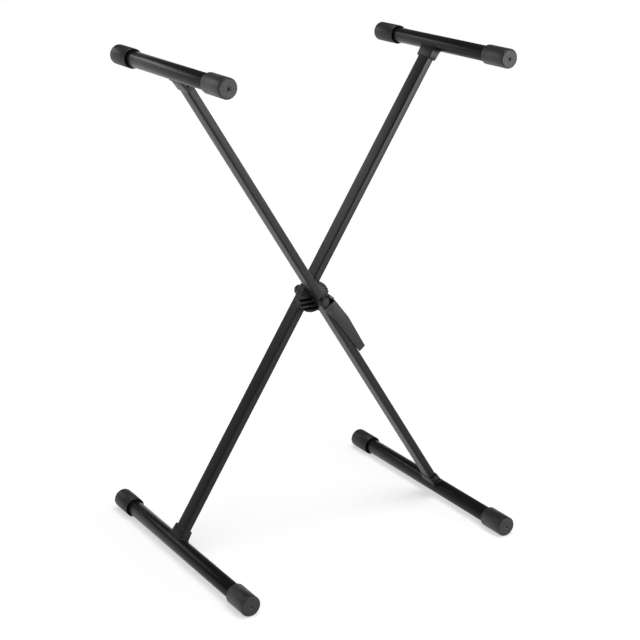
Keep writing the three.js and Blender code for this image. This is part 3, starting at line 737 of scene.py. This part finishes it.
def close_ends(bead):
    """Close a bead's two ends, round them a little and turn its faces out."""
    bpy.ops.mesh.select_all(action="SELECT")
    bpy.ops.mesh.fill_holes(sides=0)
    bpy.ops.mesh.select_all(action="SELECT")
    bpy.ops.mesh.normals_make_consistent(inside=False)
    leave_edit()
    soften(bead, 0.5 * MM, segments=2, above=60)
    apply_modifier(bead, "SUBSURF", levels=1, render_levels=1)


class STAND_OT_sleeves(Operator):
    """Model the sleeves that join arms and bars, with their weld beads, cross bolts and nuts"""

    bl_idname = "stand.sleeves"
    bl_label = "Sleeves"

    def execute(self, context):
        sizes = context.scene.stand_sizes
        for name, arm, body, end in ENDS:
            self.sleeve(sizes, name, arm, body, end)
            self.cross_bolt(name, arm, body)
        return {"FINISHED"}

    def sleeve(self, sizes, name, arm, body, end):
        node = name + "_bracket"
        low, high = arm_box(node, arm)
        tube_low, tube_high = arm_box(name[: name.index("_")] + "_arm_tube", arm)
        bar_low, bar_high = arm_box(name + "_bar_tube", arm)
        bar_radius = (bar_high.x - bar_low.x) / 2
        sleeve = block(name + "_sleeve", low, high)
        mouth = low.x if end > 0 else high.x
        edit_faces(sleeve, lambda place, normal: abs(place.x - mouth) < MERGE)
        narrow = sizes.sleeve_narrow / (high.z - low.z)
        bpy.ops.transform.resize(value=(1, 1, narrow), center_override=(mouth, (low.y + high.y) / 2, 0))
        leave_edit()
        edit_edges(sleeve, lambda a, b: abs(a.x - b.x) > 0.5 * (high.x - low.x))
        bpy.ops.mesh.bevel(offset=sizes.sleeve_corner, segments=5, affect="EDGES")
        leave_edit()
        spread = Vector((10 * MM, HOLE_EASE, HOLE_EASE))
        hollow_low = Vector((min(low.x, high.x) - 10 * MM, tube_low.y, tube_low.z)) - spread
        hollow_high = Vector((max(low.x, high.x) + 10 * MM, tube_high.y, tube_high.z)) + spread
        hollow = block("hollow", hollow_low, hollow_high)
        edit_edges(hollow, lambda a, b: abs(a.x - b.x) > 10 * MM)
        bpy.ops.mesh.bevel(offset=sizes.arm_corner, segments=4, affect="EDGES")
        leave_edit()
        combine(sleeve, hollow, "DIFFERENCE")
        saddle = turned("saddle", [(bar_radius, low.y - MM), (bar_radius, high.y + MM)], 96)
        combine(sleeve, move(saddle, Matrix.Translation((end * REACH, 0, 0))), "DIFFERENCE")
        bolt_low, bolt_high = arm_box(name + "_bracket_bolt", arm)
        bolt_at = (bolt_low.x + bolt_high.x) / 2
        hole(sleeve, CROSS_SHANK + HOLE_EASE, bolt_at, 0, *outside_of(low, high))
        soften(sleeve, 0.35 * MM, segments=2, above=40)
        hand_over(sleeve, arm, body, "bracket_paint", "Sleeve paint", node)

        half = (high.z - low.z) / 2
        sweep = math.asin(min(0.95, half / bar_radius))
        skin = end * (REACH - bar_radius * math.cos(sweep))
        beads = [
            arc_weld(name + "_weld", sizes.weld, bar_radius, end, low.y, sweep),
            arc_weld("weld_b", sizes.weld, bar_radius, end, high.y, sweep),
            straight_weld("weld_c", 0.8 * sizes.weld, skin, low.z, low.y, high.y),
            straight_weld("weld_d", 0.8 * sizes.weld, skin, high.z, low.y, high.y),
        ]
        alone(beads[0])
        for bead in beads[1:]:
            bead.select_set(True)
        bpy.ops.object.join()
        hand_over(bpy.context.object, arm, body, "bracket_paint", "Sleeve paint", smooth=60)

    def cross_bolt(self, name, arm, body):
        """The bolt's head looks outwards, and its nut is inside the arm."""
        low, high = arm_box(name + "_bracket_bolt", arm)
        sleeve_low, sleeve_high = arm_box(name + "_bracket", arm)
        middle = (sleeve_low.y + sleeve_high.y) / 2
        seat = (sleeve_high.y - sleeve_low.y) / 2
        tip, top = sorted(abs(y - middle) for y in (low.y, high.y))
        turn = math.pi if middle > 0 else 0
        place = arm @ Matrix.Translation(((low.x + high.x) / 2, middle, 0)) @ Matrix.Rotation(turn, 4, "X")
        head = (high.z - low.z) / 2
        bolt = domed_bolt(name + "_sleeve_bolt", head, CROSS_SHANK, -top, -seat, -tip, CROSS_SOCKET)
        hand_over(bolt, place, body, "dark_steel", "Dark steel", name + "_bracket_bolt")
        nut_low, nut_high = arm_box(name + "_bracket_nut", arm)
        end, start = sorted(abs(y - middle) for y in (nut_low.y, nut_high.y))
        nut = hexagon_nut(name + "_sleeve_nut", CROSS_NUT_FLATS, -start, -end)
        hole(nut, CROSS_SHANK + HOLE_EASE, 0, 0, -start - MM, -end + MM)
        hand_over(nut, place, body, "dark_steel", "Dark steel", name + "_bracket_nut")


CROSS_NUT_FLATS = 10 * MM
CROSS_SOCKET = 2 * MM
PIVOT_NUT_FLATS = 17 * MM
THREAD_PITCH = 1 * MM
THREAD_TURNS = 3


def domed_bolt(name, head, shank, top, seat, tip, socket=0):
    """A bolt with a domed head at -Y, plain or with a hexagon socket, and threads at its tip."""
    rise = seat - top
    profile = [(POLE, top), (0.45 * head, top + 0.02 * rise)]
    for step in range(1, 7):
        turn = step / 6 * math.pi / 2
        profile.append((head * (0.45 + 0.55 * math.sin(turn)), seat - rise * (0.2 + 0.8 * math.cos(turn))))
    profile += [(head, seat), (shank, seat)]
    for turn in range(THREAD_TURNS, 0, -1):
        start = tip - turn * THREAD_PITCH
        profile += [(shank, start), (0.86 * shank, start + 0.5 * THREAD_PITCH)]
    profile += [(shank, tip - 0.3 * MM), (0.8 * shank, tip), (POLE, tip)]
    bolt = turned(name, profile, BOLT_SIDES)
    if socket:
        key = turned("key", [(socket, top - MM), (socket, top + 0.6 * rise)], 6)
        combine(bolt, key, "DIFFERENCE")
    return bolt


def hexagon_nut(name, flats, y0, y1):
    """A hexagon nut without its bore, its corners chamfered at both ends."""
    corner = flats / 2 / math.cos(math.pi / 6)
    chamfer = (corner - flats / 2) / 2
    nut = turned(name, [(corner, y0), (corner, y1)], 6)
    waist = [(flats / 2, y0 - MERGE), (corner + MERGE, y0 + chamfer)]
    waist += [(corner + MERGE, y1 - chamfer), (flats / 2, y1 + MERGE)]
    combine(nut, turned("waist", waist, BOLT_SIDES), "INTERSECT")
    return nut


def lock_nut(name, flats, bore, y0, y1):
    """A hexagon nut with a round crown that holds its locking ring."""
    crown = y0 + 0.76 * (y1 - y0)
    nut = hexagon_nut(name, flats, y0, crown)
    ring = 0.46 * flats
    dome = [(bore, crown - 0.5 * MM), (ring, crown - 0.5 * MM), (ring, y1 - 0.8 * MM)]
    dome += [(ring - 0.3 * MM, y1 - 0.25 * MM), (ring - 0.9 * MM, y1), (bore, y1)]
    combine(nut, turned("crown", dome, BOLT_SIDES, hollow=True), "UNION")
    hole(nut, bore, 0, 0, y0 - MM, y1 + MM)
    return nut


# ------------------------------------------------------------------ pivot

def washer(name, bore, radius, y0, y1, soft):
    """A flat washer with rolled edges."""
    ring = turned(name, [(bore, y0), (radius, y0), (radius, y1), (bore, y1)], 64, hollow=True)
    soften(ring, soft)
    return ring


class STAND_OT_pivot(Operator):
    """Model the pivot bolt with its washers, lock nut and bush"""

    bl_idname = "stand.pivot"
    bl_label = "Pivot"

    def execute(self, context):
        sizes = context.scene.stand_sizes
        place = Matrix.Translation(Vector((PIVOT.x, 0, PIVOT.z)))
        low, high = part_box("pivot_bolt")
        washers = {}
        for side in ("front", "rear"):
            node = "pivot_" + side + "_washer"
            start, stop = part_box(node)
            washers[side] = (start.y, stop.y)
            radius = (stop.x - start.x) / 2
            ring = washer(side + "_washer", PIVOT_SHANK, radius, start.y, stop.y, sizes.steel_bevel)
            hand_over(ring, place, "rear_frame", "dark_steel", "Black steel", node)
        head = (high.x - low.x) / 2
        bolt = domed_bolt("hub_bolt", head, PIVOT_SHANK, low.y, washers["front"][0], high.y)
        hand_over(bolt, place, "rear_frame", "dark_steel", "Black steel", "pivot_bolt")
        nut_low, nut_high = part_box("pivot_nut")
        nut = lock_nut("hub_nut", PIVOT_NUT_FLATS, PIVOT_SHANK + HOLE_EASE, nut_low.y, nut_high.y)
        hand_over(nut, place, "rear_frame", "dark_steel", "Black steel", "pivot_nut")
        bush_low, bush_high = arm_box("pivot_bush", FRONT_ARM)
        bush = washer("hub_bush", PIVOT_SHANK + HOLE_EASE, bush_high.z, bush_low.y, bush_high.y, 0.3 * MM)
        hand_over(bush, FRONT_ARM, "front_frame", "pale_nylon", "Pale nylon", "pivot_bush")
        return {"FINISHED"}


# ------------------------------------------------------------------ hub

TOOTH_SHAPE = ((1, 0.06), (0, 0.22), (0, 0.5), (1, 0.66))
RATCHET_TEETH = 36
RATCHET_TOOTH_DEPTH = 1.5 * MM
RATCHET_FIRST_PLAIN = 11
RATCHET_PLAIN = 10
PLAIN_STEPS = 4
COVER_RADIUS = 30.5 * MM
CROWN_FIRST = math.radians(76)
CROWN_PITCH = math.radians(12)
CROWN_NOTCHES = 13
CROWN_WIDTH = 2.6 * MM
CROWN_DEPTH = 3 * MM
CROWN_INNER_RADIUS = 25 * MM
RIB_PITCH = 9 * MM
RIB_THICKNESS = 3.4 * MM
RIB_DEPTH = 8.5 * MM
RIB_FIRST_TOP = 5.2 * MM
RIB_SLOTS = 4
RIB_END = 6 * MM
LEVER_ROOM = 1.5 * MM


def on_circle(radius, turn):
    """The point (x, z) of a circle about the pivot."""
    return radius * math.cos(turn), radius * math.sin(turn)


def sectors(name, corners, first, count, pitch, y):
    """One sector of a disc, drawn from (radius, turn) corners and spun round the pivot."""
    piece = drawn_face(name, [on_circle(radius, first * pitch + turn) for radius, turn in corners], y)
    edit_all(piece)
    turn = pitch * (count - 1)
    bpy.ops.mesh.spin(steps=count - 1, dupli=True, angle=turn, center=(0, 0, 0), axis=(0, -1, 0))
    leave_edit()
    return piece


def joined(pieces):
    """Several meshes as one, under the first one's name."""
    alone(pieces[0])
    for piece in pieces[1:]:
        piece.select_set(True)
    bpy.ops.object.join()
    return pieces[0]


def ratchet_disc(radius, bore, y0, y1):
    """A disc with teeth all round its rim, but for the plain sector that the pawl never reaches."""
    pitch = 2 * math.pi / RATCHET_TEETH
    root = radius - RATCHET_TOOTH_DEPTH
    tooth = [(bore, 0), (root, 0)]
    tooth += [(radius - below * RATCHET_TOOTH_DEPTH, part * pitch) for below, part in TOOTH_SHAPE]
    tooth += [(root, pitch), (bore, pitch)]
    plain = [(bore, 0)]
    plain += [(radius, step / PLAIN_STEPS * pitch) for step in range(PLAIN_STEPS + 1)]
    plain += [(bore, pitch)]
    after = RATCHET_FIRST_PLAIN + RATCHET_PLAIN
    parts = [
        sectors("ratchet", tooth, after, RATCHET_TEETH - RATCHET_PLAIN, pitch, y0),
        sectors("plain_rim", plain, RATCHET_FIRST_PLAIN, RATCHET_PLAIN, pitch, y0),
    ]
    disc = joined(parts)
    edit_all(disc)
    bpy.ops.mesh.remove_doubles(threshold=10 * MERGE)
    leave_edit()
    return thicken(disc, y1 - y0)


class STAND_OT_hub(Operator):
    """Model the toothed ratchet disc and the crowned and ribbed cover between the arms"""

    bl_idname = "stand.hub"
    bl_label = "Hub"

    def execute(self, context):
        sizes = context.scene.stand_sizes
        bore = PIVOT_SHANK + HOLE_EASE
        low, high = arm_box("ratchet_disc", REAR_ARM)
        arm_low, arm_high = arm_box("rear_arm_tube", REAR_ARM)
        disc = ratchet_disc((high.x - low.x) / 2, bore, low.y, arm_low.y - HOLE_EASE)
        soften(disc, 0.25 * MM, segments=2, above=25)
        hand_over(disc, REAR_ARM, "rear_frame", "dark_steel", "Dark steel", "ratchet_disc")
        self.cover(sizes, bore)
        return {"FINISHED"}

    def cover(self, sizes, bore):
        low, high = arm_box("hub_cover", FRONT_ARM)
        front_low, front_high = arm_box("front_arm_tube", FRONT_ARM)
        near = front_high.y + HOLE_EASE
        profile = [(bore, near), (COVER_RADIUS, near), (COVER_RADIUS, high.y), (bore, high.y)]
        cover = turned("ribbed_cover", profile, 120, hollow=True)
        lever_low, lever_high = arm_box("trigger_lever", FRONT_ARM)
        reach = 2 * COVER_RADIUS
        room_low = (lever_low.x + LEVER_TAB_STEP - LEVER_ROOM, near - MM, -LEVER_FRONT[1] - LEVER_ROOM)
        room = block("room", room_low, (reach, lever_high.y + 0.5 * MM, reach))
        combine(cover, room, "DIFFERENCE")
        notch = block(
            "notch",
            (CROWN_INNER_RADIUS, near - MM, -CROWN_WIDTH / 2),
            (reach, near + CROWN_DEPTH, CROWN_WIDTH / 2),
        )
        notches = [notch] + [twin(notch, "notch_%02d" % i) for i in range(1, CROWN_NOTCHES)]
        for i, cutter in enumerate(notches):
            move(cutter, Matrix.Rotation(-CROWN_FIRST - i * CROWN_PITCH, 4, "Y"))
        combine(cover, joined(notches), "DIFFERENCE")
        level = Matrix.Rotation(-LEAN, 4, "Y")
        for slot in range(RIB_SLOTS):
            top = RIB_FIRST_TOP - RIB_THICKNESS - slot * RIB_PITCH
            bottom = top + RIB_THICKNESS - RIB_PITCH
            gap = move(block("gap", (-reach, near - MM, bottom), (reach, near + RIB_DEPTH, top)), level)
            combine(gap, block("beside", (-reach, -reach, -reach), (reach, reach, -RIB_END)), "INTERSECT")
            combine(cover, gap, "DIFFERENCE")
        soften(cover, sizes.hub_bevel, segments=2, above=35)
        hand_over(cover, FRONT_ARM, "front_frame", "moulded_nylon", "Hub nylon", "hub_cover")


# ------------------------------------------------------------------ lever

LEVER_KINK_AT = 60.3 * MM
LEVER_BACK = (19.7 * MM, 25 * MM, 23.1 * MM)
LEVER_FRONT = (0.5 * MM, 5.8 * MM, 1.1 * MM, -7.4 * MM)
LEVER_MIDDLE_AT = 46.5 * MM
LEVER_TAB_STEP = 1.8 * MM
LEVER_TAB = ((0, -7.8), (10.4, -8.2), (19.4, -4.6), (19.4, 0), (1.8, 0))
LEVER_END_SLANT = 1.5 * MM
PAWL_TAIL_AT = 56 * MM
PAWL_TAIL_DEPTH = 14 * MM
PAWL_TEETH = 3
PAWL_FIRST_TOOTH = math.radians(31)
PAWL_TOOTH_GAP = 0.35 * MM
PAWL_RELIEF = 2 * MM
PAWL_HEAD_LENGTH = 13 * MM
PAWL_HEAD_CORNER = math.radians(47)
PIN_CHAMFER = 0.3 * MM
SPRING_WIRE = 1.3 * MM
SPRING_DIAMETER = 9 * MM
SPRING_CURLS = 5


def lever_back(x, start, end):
    """How far the lever's back stands off the arm's centre line at x."""
    first, kink, last = LEVER_BACK
    if x < LEVER_KINK_AT:
        return first + (x - start) / (LEVER_KINK_AT - start) * (kink - first)
    return kink + (x - LEVER_KINK_AT) / (end - LEVER_KINK_AT) * (last - kink)


class STAND_OT_lever(Operator):
    """Model the folded squeeze lever with its pin, pawl, rivets and return spring"""

    bl_idname = "stand.lever"
    bl_label = "Lever"

    def execute(self, context):
        sizes = context.scene.stand_sizes
        self.low, self.high = arm_box("trigger_lever", FRONT_ARM)
        self.start = self.low.x + LEVER_TAB_STEP
        self.end = self.high.x - LEVER_END_SLANT
        self.pin = FRONT_ARM.inverted() @ joint_place("trigger_squeeze")
        self.lever(sizes)
        self.lever_pin()
        self.pawl_and_rivets(sizes)
        self.return_spring(sizes)
        return {"FINISHED"}

    def lever(self, sizes):
        low, high = self.low, self.high
        back = LEVER_BACK
        front = LEVER_FRONT
        outline = [
            (self.start, -front[0]),
            (self.pin.x, -front[1]),
            (LEVER_MIDDLE_AT, -front[2]),
            (self.end + LEVER_END_SLANT, -front[3]),
            (self.end, back[2]),
            (LEVER_KINK_AT, back[1]),
            (self.start, back[0]),
        ]
        lever = plate("squeeze_lever", outline, low.y, high.y)
        edit_faces(lever, lambda place, normal: abs(normal.y) < 0.5 and normal.z < 0.9)
        bpy.ops.mesh.delete(type="FACE")
        leave_edit()
        edit_edges(lever, lambda a, b: abs(a.y - b.y) < MERGE and min(a.z, b.z) > back[0] - MERGE)
        bpy.ops.mesh.bevel(offset=sizes.bend, segments=6, affect="EDGES")
        leave_edit()
        apply_modifier(lever, "SOLIDIFY", thickness=sizes.sheet, offset=-1, use_even_offset=True)
        tab_outline = [(low.x + x * MM, z * MM) for x, z in LEVER_TAB]
        combine(lever, plate("tab", tab_outline, low.y, low.y + sizes.sheet), "UNION")
        hole(lever, LEVER_PIN_SHANK + HOLE_EASE, self.pin.x, self.pin.z, low.y - MM, high.y + MM)
        soften(lever, 0.8 * MM, segments=3, above=50)
        hand_over(lever, FRONT_ARM, "trigger", "lever_paint", "Lever paint with painted light", "trigger_lever")

    def lever_pin(self):
        low, high = arm_box("lever_pin", FRONT_ARM)
        edge = LEVER_PIN_SHANK - PIN_CHAMFER
        profile = [(POLE, low.y), (edge, low.y), (LEVER_PIN_SHANK, low.y + PIN_CHAMFER)]
        profile += [(LEVER_PIN_SHANK, high.y - PIN_CHAMFER), (edge, high.y), (POLE, high.y)]
        pin = turned("lever_pivot_pin", profile, BOLT_SIDES)
        place = FRONT_ARM @ Matrix.Translation((self.pin.x, 0, self.pin.z))
        hand_over(pin, place, "front_frame", "dark_steel", "Dark steel", "lever_pin")

    def pawl_and_rivets(self, sizes):
        disc_low, disc_high = arm_box("ratchet_disc", REAR_ARM)
        rim = (disc_high.x - disc_low.x) / 2
        tip = rim + PAWL_TOOTH_GAP
        root = tip + RATCHET_TOOTH_DEPTH
        relief = tip + PAWL_RELIEF
        pitch = 2 * math.pi / RATCHET_TEETH
        first = PAWL_FIRST_TOOTH
        outline = [on_circle(relief, first - pitch), on_circle(relief, first - 0.2 * pitch)]
        for tooth in range(PAWL_TEETH):
            start = first + tooth * pitch
            outline += [on_circle(root, start), on_circle(tip, start + 0.25 * pitch)]
            if tooth < PAWL_TEETH - 1:
                outline += [on_circle(tip, start + 0.5 * pitch), on_circle(root, start + 0.75 * pitch)]
        outline.append(on_circle(tip, first + (PAWL_TEETH - 0.15) * pitch))
        outline.append(on_circle(rim + PAWL_HEAD_LENGTH, PAWL_HEAD_CORNER))
        tail = lever_back(PAWL_TAIL_AT, self.start, self.end) - sizes.sheet
        outline += [(PAWL_TAIL_AT, tail), (PAWL_TAIL_AT, tail - PAWL_TAIL_DEPTH)]
        low, high = arm_box("pawl", FRONT_ARM)
        pawl = plate("toothed_pawl", outline, self.high.y, high.y)
        soften(pawl, 0.35 * MM, segments=2, above=30)
        hand_over(pawl, FRONT_ARM, "trigger", "dark_steel", "Dark steel", "pawl")
        for node in ("pawl_upper_rivet", "pawl_lower_rivet"):
            self.rivet(node, high.y)

    def rivet(self, node, far):
        low, high = arm_box(node, FRONT_ARM)
        middle = (low + high) / 2
        head = (high.x - low.x) / 2
        shank = 0.62 * head
        profile = [(POLE, low.y)]
        for step in range(1, 5):
            turn = step / 4 * math.pi / 2
            profile.append((head * math.sin(turn), low.y + 0.7 * MM * (1 - math.cos(turn))))
        profile += [(head, low.y + 0.8 * MM), (shank, low.y + 0.8 * MM), (shank, far), (POLE, far + 0.4 * MM)]
        rivet = turned(node.replace("pawl_", "") + "_head", profile, 32)
        place = FRONT_ARM @ Matrix.Translation((middle.x, 0, middle.z))
        hand_over(rivet, place, "trigger", "spring_steel", "Bright steel", node)

    def return_spring(self, sizes):
        low, high = arm_box("return_spring", FRONT_ARM)
        middle = (low + high) / 2
        wire = SPRING_WIRE / 2
        pitch = (high.z - low.z - SPRING_WIRE) / SPRING_CURLS
        bpy.ops.object.select_all(action="DESELECT")
        bpy.ops.mesh.primitive_circle_add(
            vertices=12,
            radius=wire,
            location=(SPRING_DIAMETER / 2 - wire, 0, 0),
            rotation=(math.pi / 2, 0, 0),
        )
        spring = set_down("lever_spring")
        apply_modifier(
            spring,
            "SCREW",
            axis="Z",
            angle=2 * math.pi,
            screw_offset=pitch,
            iterations=SPRING_CURLS,
            steps=24,
            render_steps=24,
        )
        edit_all(spring)
        bpy.ops.mesh.fill_holes(sides=0)
        bpy.ops.mesh.select_all(action="SELECT")
        bpy.ops.mesh.normals_make_consistent(inside=False)
        leave_edit()
        place = FRONT_ARM @ Matrix.Translation((middle.x, middle.y, low.z + wire))
        hand_over(spring, place, "front_frame", "spring_steel", "Bright steel", "return_spring", smooth=60)
        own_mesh(spring)


# ------------------------------------------------------------------ studio

# Each lamp: its name, place, aim, width, height and power.
LAMPS = (
    ("front_softbox", (1.6, -2.45, 0.5), (0, 0, 0.75), 1.5, 0.6, 42),
    ("rear_softbox", (-1.2, 2.4, 1.75), (0, 0, 0.5), 1.6, 0.5, 9),
    ("overhead_softbox", (0.2, -0.3, 3.2), (0, 0, 0.4), 2.2, 2.2, 50),
    ("fill_softbox", (-2.1, -1.7, 1.9), (0, 0, 0.5), 1.2, 1.2, 8),
)
# The backdrop is white up to a little above the horizon and fades to the room's level over it.
BACKDROP_EDGE = (0.12, 0.22)
AMBIENT = 0.1
PAPER = 0.8
# The paper's own glow makes up for the lamps' fall-off, from the stand outwards.
GLOW_NEAR, GLOW_FAR = (0.4, 0.52), (4, 0.89)


class STAND_OT_studio(Operator):
    """Set up the pale floor, the soft lamps and the camera"""

    bl_idname = "stand.studio"
    bl_label = "Studio"

    def execute(self, context):
        self.floor()
        for name, place, aim, width, height, power in LAMPS:
            lamp = bpy.data.lights.new(name, "AREA")
            lamp.shape = "RECTANGLE"
            lamp.size, lamp.size_y = width, height
            lamp.energy = power
            stand_in = bpy.data.objects.new(name, lamp)
            context.scene.collection.objects.link(stand_in)
            stand_in.location = place
            stand_in.rotation_euler = (Vector(aim) - Vector(place)).to_track_quat("-Z", "Y").to_euler()
        self.world(context.scene)
        self.camera(context.scene)
        context.scene.view_settings.view_transform = "Standard"
        return {"FINISHED"}

    def floor(self):
        bpy.ops.object.select_all(action="DESELECT")
        bpy.ops.mesh.primitive_plane_add(size=30, location=(0, 0, 0))
        floor = set_down("studio_floor")
        material = bpy.data.materials.new("Studio floor")
        material.use_nodes = True
        tree = material.node_tree
        tree.nodes.remove(tree.nodes["Principled BSDF"])
        output = tree.nodes["Material Output"]
        paper = tree.nodes.new("ShaderNodeBsdfDiffuse")
        paper.inputs["Color"].default_value = (PAPER, PAPER, PAPER, 1)
        glow = tree.nodes.new("ShaderNodeEmission")
        glow.inputs["Color"].default_value = (1, 1, 1, 1)
        light = tree.nodes.new("ShaderNodeLightPath")
        seen = math_node(tree, "MAXIMUM", light.outputs["Is Camera Ray"], light.outputs["Is Glossy Ray"])
        seen = math_node(tree, "MAXIMUM", seen, light.outputs["Is Transmission Ray"])
        place = tree.nodes.new("ShaderNodeTexCoord")
        away = tree.nodes.new("ShaderNodeVectorMath")
        away.operation = "LENGTH"
        tree.links.new(place.outputs["Object"], away.inputs[0])
        level = ramp_node(tree, away.outputs["Value"], GLOW_NEAR[0], GLOW_FAR[0])
        spread = math_node(tree, "MULTIPLY", level, GLOW_FAR[1] - GLOW_NEAR[1])
        strength = math_node(tree, "ADD", spread, GLOW_NEAR[1])
        tree.links.new(math_node(tree, "MULTIPLY", seen, strength), glow.inputs["Strength"])
        both = tree.nodes.new("ShaderNodeAddShader")
        tree.links.new(paper.outputs[0], both.inputs[0])
        tree.links.new(glow.outputs[0], both.inputs[1])
        tree.links.new(both.outputs[0], output.inputs["Surface"])
        floor.data.materials.append(material)

    def world(self, scene):
        world = scene.world or bpy.data.worlds.new("Studio")
        scene.world = world
        world.use_nodes = True
        tree = world.node_tree
        backdrop = tree.nodes["Background"]
        backdrop.inputs["Color"].default_value = (1, 1, 1, 1)
        place = tree.nodes.new("ShaderNodeTexCoord")
        parts = tree.nodes.new("ShaderNodeSeparateXYZ")
        tree.links.new(place.outputs["Generated"], parts.inputs[0])
        above = ramp_node(tree, parts.outputs["Z"], *BACKDROP_EDGE)
        fall = math_node(tree, "MULTIPLY", above, 1 - AMBIENT)
        tree.links.new(math_node(tree, "SUBTRACT", 1.0, fall), backdrop.inputs["Strength"])

    def camera(self, scene):
        view = scene.stand_studio
        around, above = view.azimuth, view.elevation
        back = Vector(
            (
                math.sin(around) * math.cos(above),
                -math.cos(around) * math.cos(above),
                math.sin(above),
            )
        )
        place = Vector((view.aim_across, 0, view.aim_height)) + view.distance * back
        right = (-back).cross(Vector((0, 0, 1))).normalized()
        up = right.cross(-back)
        tilted_right = right * math.cos(view.roll) + up * math.sin(view.roll)
        tilted_up = up * math.cos(view.roll) - right * math.sin(view.roll)
        lens = bpy.data.cameras.new("camera")
        lens.lens = view.lens
        lens.sensor_width = 36
        lens.clip_start, lens.clip_end = 0.05, 100
        camera = bpy.data.objects.new("camera", lens)
        scene.collection.objects.link(camera)
        turn = Matrix((tilted_right, tilted_up, back)).transposed().to_4x4()
        camera.matrix_world = Matrix.Translation(place) @ turn
        scene.camera = camera


class STAND_PT_panel(Panel):
    """The stand's steps, sizes and finishes in the sidebar"""

    bl_idname = "STAND_PT_panel"
    bl_label = "Keyboard Stand"
    bl_space_type = "VIEW_3D"
    bl_region_type = "UI"
    bl_category = "Stand"

    def draw(self, context):
        for operator in STEPS:
            self.layout.operator(operator.bl_idname)
        for group in (context.scene.stand_sizes, context.scene.stand_finish, context.scene.stand_studio):
            box = self.layout.box()
            for name in group.__annotations__:
                box.prop(group, name)


STEPS = (
    STAND_OT_studio,
    STAND_OT_finishes,
    STAND_OT_arms,
    STAND_OT_bars,
    STAND_OT_caps,
    STAND_OT_sleeves,
    STAND_OT_pivot,
    STAND_OT_hub,
    STAND_OT_lever,
)
CLASSES = (StandSizes, StandFinish, StandStudio, *STEPS, STAND_PT_panel)


def register():
    """Add the properties, operators and panel."""
    for entry in CLASSES:
        bpy.utils.register_class(entry)
    bpy.types.Scene.stand_sizes = PointerProperty(type=StandSizes)
    bpy.types.Scene.stand_finish = PointerProperty(type=StandFinish)
    bpy.types.Scene.stand_studio = PointerProperty(type=StandStudio)


def unregister():
    """Take them out again."""
    del bpy.types.Scene.stand_studio
    del bpy.types.Scene.stand_finish
    del bpy.types.Scene.stand_sizes
    for entry in reversed(CLASSES):
        bpy.utils.unregister_class(entry)


def main():
    """Build the whole stand, step by step."""
    register()
    bpy.ops.stand.studio()
    bpy.ops.stand.finishes()
    bpy.ops.stand.arms()
    bpy.ops.stand.bars()
    bpy.ops.stand.caps()
    bpy.ops.stand.sleeves()
    bpy.ops.stand.pivot()
    bpy.ops.stand.hub()
    bpy.ops.stand.lever()


if __name__ == "__main__":
    main()
